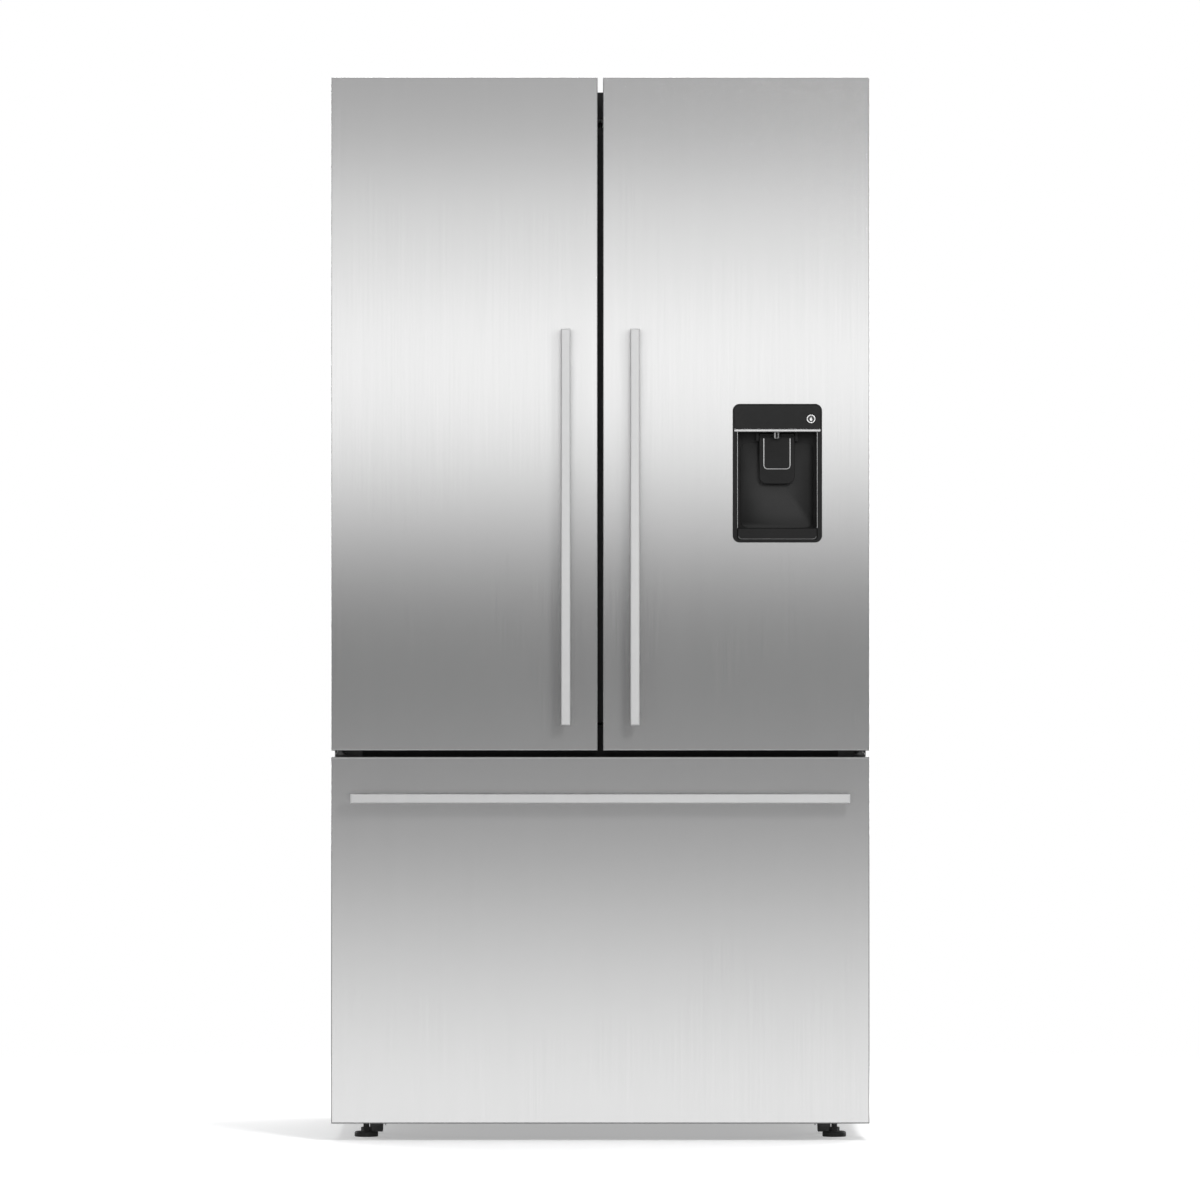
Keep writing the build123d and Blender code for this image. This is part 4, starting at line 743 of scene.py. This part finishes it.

# %% [markdown]
# ## Back panel of the niche, and a painted reflection on the spout
# The back of the niche is a separate panel with round corners. It stands a millimetre proud of
# the tub and is a shade lighter, as painted light: the lighter black stands in for the panel lit
# below the shaded top of the niche. A slab would have square corners. Three copies of one
# rounded outline, joined to a skin, keep them round, and the last copy is drawn in a little to
# soften the edge. A short dark strip down the front of the spout is a painted reflection: it
# stands in for the dark middle that a round chrome spout reflects between its bright edges. A
# plain slab is enough for it.

# %% Raised back panel of the niche
niche_x = (housing_low.x + housing_high.x) / 2
niche_back = face_y + 46 * mm
niche_half = 61 * mm
arch_foot = tray_high.z + 1 * mm
arch_top = line_top - 17 * mm
arch_corner = 14 * mm
panel_depth = 1 * mm
panel_sunk = 0.3 * mm
panel_edge = 0.3 * mm
edge_start = 0.7  # share of the depth at which the edge starts to turn in
lower_end = 20 * mm  # the foot of the panel isn't drawn in
arch = rounded_path(niche_x - niche_half, niche_x + niche_half, arch_foot, arch_top, arch_corner)
arch_rings = []
for y, inset in ((niche_back + panel_sunk, 0.0), (niche_back - edge_start * panel_depth, 0.0),
                 (niche_back - panel_depth, panel_edge)):
    ring = []
    for x, z in arch:
        lowered = inset if z > tray_high.z + lower_end else 0.0
        ring.append((x + math.copysign(inset, niche_x - x), y, z - lowered))
    arch_rings.append(ring)
arch_mesh = bmesh.new()
add_rings(arch_mesh, arch_rings, False)
arch_skin = finish_mesh("niche_back_panel", arch_mesh, smooth_angle=50)
# The panel's lighter black is painted light, for a panel lit below the shaded top of the niche.
show("niche_back_panel", arch_skin, "right_door", "dispenser_gloss", niche_panel_lit_black)

# %% Painted dark reflection down the front of the spout
trim_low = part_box("dispenser_trim")[0]
# A black slab down the front of the chrome spout is a painted reflection: it stands in for the dark
# middle that a round chrome spout reflects.
spout_x = niche_x - 1 * mm
spout_front = face_y + 11 * mm
dark_reflection_half = 2.2 * mm
dark_reflection_proud = 0.2 * mm
dark_reflection_deep = 1.4 * mm
dark_reflection_foot = trim_low.z + 0.3 * mm
dark_reflection_top = trim_low.z + 9.6 * mm
dark_reflection_edge = 0.2 * mm
dark_reflection_low = (spout_x - dark_reflection_half, spout_front - dark_reflection_proud, dark_reflection_foot)
dark_reflection_high = (spout_x + dark_reflection_half, spout_front + dark_reflection_deep, dark_reflection_top)
show("spout_painted_reflection", slab_mesh("spout_painted_reflection", [(dark_reflection_low, dark_reflection_high)], dark_reflection_edge), "right_door",
     "dispenser_black")

# %% [markdown]
# ## U trim on the paddle
# The paddle that a glass pushes back carries a bright U. It could be cut from a flat sheet, but
# it is one open line, down one side, round two corners and up the other, so a bead can follow it.
# The bead is squashed towards the paddle, because an inlay stands less proud than it is wide.


# %% U trim on the paddle
def u_line(x_low, x_high, z_low, z_high, y, radius, steps=6):
    """An open U, down one side, round two corners and up the other."""
    line = [(x_low, y, z_high)]
    for x, start in ((x_low + radius, 180), (x_high - radius, 270)):
        for step in range(steps + 1):
            turn = math.radians(start + 90 * step / steps)
            line.append((x + radius * math.cos(turn), y, z_low + radius + radius * math.sin(turn)))
    line.append((x_high, y, z_high))
    return line


paddle_low, paddle_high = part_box("dispenser_paddle")
paddle_x = (paddle_low.x + paddle_high.x) / 2
paddle_front = paddle_low.y + 0.5 * mm
u_half = 22.0 * mm
u_foot = paddle_low.z + 25 * mm
u_top = paddle_high.z - 8 * mm
u_corner = 6 * mm
u_thick = 1.3 * mm
u_flat = 0.7
paddle_u = u_line(paddle_x - u_half, paddle_x + u_half, u_foot, u_top, paddle_front, u_corner)
show("paddle_trim", bead_mesh("paddle_trim", [(paddle_u, False)], u_thick, u_flat), "paddle",
     "dispenser_chrome")

# %% [markdown]
# ## The button
# The button carries a ring and a water drop, printed in silver. A drop is a circle whose top is
# drawn out to a point, so a short formula gives its outline. It is raised by a fifth of a
# millimetre, so that it stays visible in the exported mesh as well.

# %% Ring and drop on the button
button_low, button_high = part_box("lock_button")
button_x = (button_low.x + button_high.x) / 2
button_z = (button_low.z + button_high.z) / 2
button_front = button_low.y
ring_radius = 6.4 * mm
ring_thick = 0.75 * mm
ring_flat = 0.5
ring_steps = 40
ring_path = []
for step in range(ring_steps):
    turn = 2 * math.pi * step / ring_steps
    ring_path.append((button_x + ring_radius * math.cos(turn), button_front,
                      button_z + ring_radius * math.sin(turn)))
ring_mesh = bead_mesh("button_ring_line", [(ring_path, True)], ring_thick, ring_flat, sides=8)
show("button_ring_line", ring_mesh, "lock_button", "dispenser_chrome", printed_silver)

drop_size = 3.0 * mm
drop_wide, drop_tall = 0.95, 1.15  # as shares of its size
drop_point = 1.6  # more of it draws the tip out further
drop_sunk, drop_proud = 0.1 * mm, 0.2 * mm
drop_steps = 36
drop_outline = []
for step in range(drop_steps):
    turn = 2 * math.pi * step / drop_steps
    swell = math.sin(turn) * math.sin(turn / 2) ** drop_point  # zero at the tip, widest low down
    drop_outline.append((button_x + drop_size * drop_wide * swell,
                         button_z + drop_size * drop_tall * math.cos(turn)))
drop_mesh = bmesh.new()
add_rings(drop_mesh, [[(x, button_front + drop_sunk, z) for x, z in drop_outline],
                      [(x, button_front - drop_proud, z) for x, z in drop_outline]], False)
show("button_drop", finish_mesh("button_drop", drop_mesh), "lock_button", "dispenser_chrome",
     printed_silver)

# %% [markdown]
# ## Inside: shelf edges and crisper sliders
# With the doors open, the front edges of the shelves catch the eye first: each has a satin metal
# strip. The glass over the crispers carries two little sliders that set the humidity. Their places
# are read from the panes themselves, so the parts' own mesh is split into its separate solids.


# %% Find the separate solids of a part
def solids_of(node):
    """The boxes of a part's separate solids, lowest first."""
    mesh = bmesh.new()
    mesh.from_mesh(frame["nodes"][node].data)
    bmesh.ops.remove_doubles(mesh, verts=mesh.verts, dist=0.001 * mm)
    left = set(mesh.verts)
    boxes = []
    while left:
        reach = [left.pop()]
        spots = []
        while reach:
            vert = reach.pop()
            spots.append(vert.co.copy())
            for edge in vert.link_edges:
                other = edge.other_vert(vert)
                if other in left:
                    left.discard(other)
                    reach.append(other)
        boxes.append((Vector([min(s[a] for s in spots) for a in range(3)]),
                      Vector([max(s[a] for s in spots) for a in range(3)])))
    mesh.free()
    return sorted(boxes, key=lambda box: (round(box[0].z, 4), box[0].x))


panes = solids_of("shelf_glass")
print("panes of glass", len(panes))

# %% Satin strips along the shelf fronts
frame_front = 3 * mm  # from a pane's front edge to the front of its frame
strip_over = 1 * mm
strip_proud, strip_sunk = 1.6 * mm, 0.4 * mm
strip_below, strip_above = 1.4 * mm, 9.4 * mm  # from the pane's underside
strip_edge = 0.7 * mm
strip_boxes = []
for low, high in panes:
    front = low.y - frame_front
    strip_boxes.append(((low.x - strip_over, front - strip_proud, low.z - strip_below),
                        (high.x + strip_over, front + strip_sunk, low.z + strip_above)))
show("shelf_front_strips", slab_mesh("shelf_front_strips", strip_boxes, strip_edge), "cabinet",
     "handle_steel")


# %% Humidity sliders in front of the crispers
lid_low = panes[0][0]
slider_front = lid_low.y - 4.6 * mm  # the face of the strip
slider_z = lid_low.z + 4 * mm
slider_x = 0.19  # from the middle of the cabinet to the middle of each track
knob_shift = 10 * mm
rib_gap = 2.4 * mm
track_edge, knob_edge = 0.5 * mm, 0.3 * mm


def slider_slab(x, half_wide, half_tall, proud, back):
    """Two corners of a slab centred on x; proud and back are measured forwards from the strip."""
    return ((x - half_wide, slider_front - proud, slider_z - half_tall),
            (x + half_wide, slider_front - back, slider_z + half_tall))


tracks, knobs = [], []
for side in (-1, 1):
    tracks.append(slider_slab(side * slider_x, 26 * mm, 3.0 * mm, 1.0 * mm, -0.4 * mm))
    knob_x = side * slider_x + side * knob_shift
    knobs.append(slider_slab(knob_x, 7 * mm, 2.4 * mm, 4.0 * mm, 0.6 * mm))
    for rib in range(-2, 3):
        rib_x = knob_x + rib * rib_gap
        knobs.append(slider_slab(rib_x, 0.5 * mm, 2.0 * mm, 4.8 * mm, 3.8 * mm))
show("humidity_tracks", slab_mesh("humidity_tracks", tracks, track_edge), "cabinet",
     "mullion_plastic")
show("humidity_knobs", slab_mesh("humidity_knobs", knobs, knob_edge), "cabinet", "trim_white")

# %% [markdown]
# ## Screws
# The hinge covers, the back panel and the cover below it are held by pan-head screws with a
# hexagon socket. A head is a shallow dome, which is a stack of rings; the inner rings follow a
# hexagon instead of a circle and go down again. All the screws of one place make one piece.


# %% Pan-head screws from stacked rings
def screw_mesh(name, spots, facing, head=4.2):
    """Screw heads, in millimetres of head radius, standing on spots and facing one way."""
    stack = (  # radius and height as shares of the head's radius, and whether it is a hexagon
        (0.98, -0.10, False), (1.0, 0.0, False), (1.0, 0.16, False), (0.9, 0.34, False),
        (0.68, 0.46, False), (0.5, 0.5, False), (0.44, 0.48, True), (0.42, 0.2, True))
    turn_to = facing.to_track_quat("Z", "Y")
    sides = 24
    mesh = bmesh.new()
    for spot in spots:
        rings = []
        for radius, height, hexagon in stack:
            ring = []
            for side in range(sides):
                angle = 360 * side / sides
                reach = radius
                if hexagon:  # drawn in from the circle through its corners to its flat sides
                    reach *= math.cos(math.radians(30)) / math.cos(math.radians(angle % 60 - 30))
                turn = math.radians(angle)
                local = Vector((reach * math.cos(turn), reach * math.sin(turn), height)) * head * mm
                ring.append(Vector(spot) + turn_to @ local)
            rings.append(ring)
        add_rings(mesh, rings, False)
    return finish_mesh(name, mesh, smooth_angle=30)


backward, upward = Vector((0, 1, 0)), Vector((0, 0, 1))
back_low, back_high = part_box("rear_panels")
cover_reach = 0.3  # no solid of the lower cover ends higher than this above its foot
cover_boxes = [box for box in solids_of("rear_panels") if box[1].z < back_low.z + cover_reach]
cover_low = min((box[0] for box in cover_boxes), key=lambda corner: corner.z)
cover_high = max((box[1] for box in cover_boxes), key=lambda corner: corner.z)
rear_spots = []
edge_inset = 9 * mm
side_inset = 20 * mm
row_screws = 6
screw_heights = (0.5, 0.9, 1.3, 1.7)
row_length = back_high.x - back_low.x - 2 * side_inset
for step in range(row_screws):
    x = back_low.x + side_inset + step * row_length / (row_screws - 1)
    rear_spots.append((x, back_high.y, cover_high.z - edge_inset))
    rear_spots.append((x, back_high.y, cover_low.z + edge_inset))
for z in screw_heights:
    for x in (back_low.x + edge_inset, back_high.x - edge_inset):
        rear_spots.append((x, back_high.y, z))
show("rear_cover_screws", screw_mesh("rear_cover_screws", rear_spots, backward), "cabinet",
     "zinc_steel")

cover_inset = 22 * mm
cover_head = 4.8
cover_spots = []
for low, high in solids_of("hinge_covers"):
    cover_spots.append(((low.x + high.x) / 2, high.y - cover_inset, high.z))
show("hinge_cover_screws", screw_mesh("hinge_cover_screws", cover_spots, upward, cover_head),
     "cabinet", "hinge_steel")
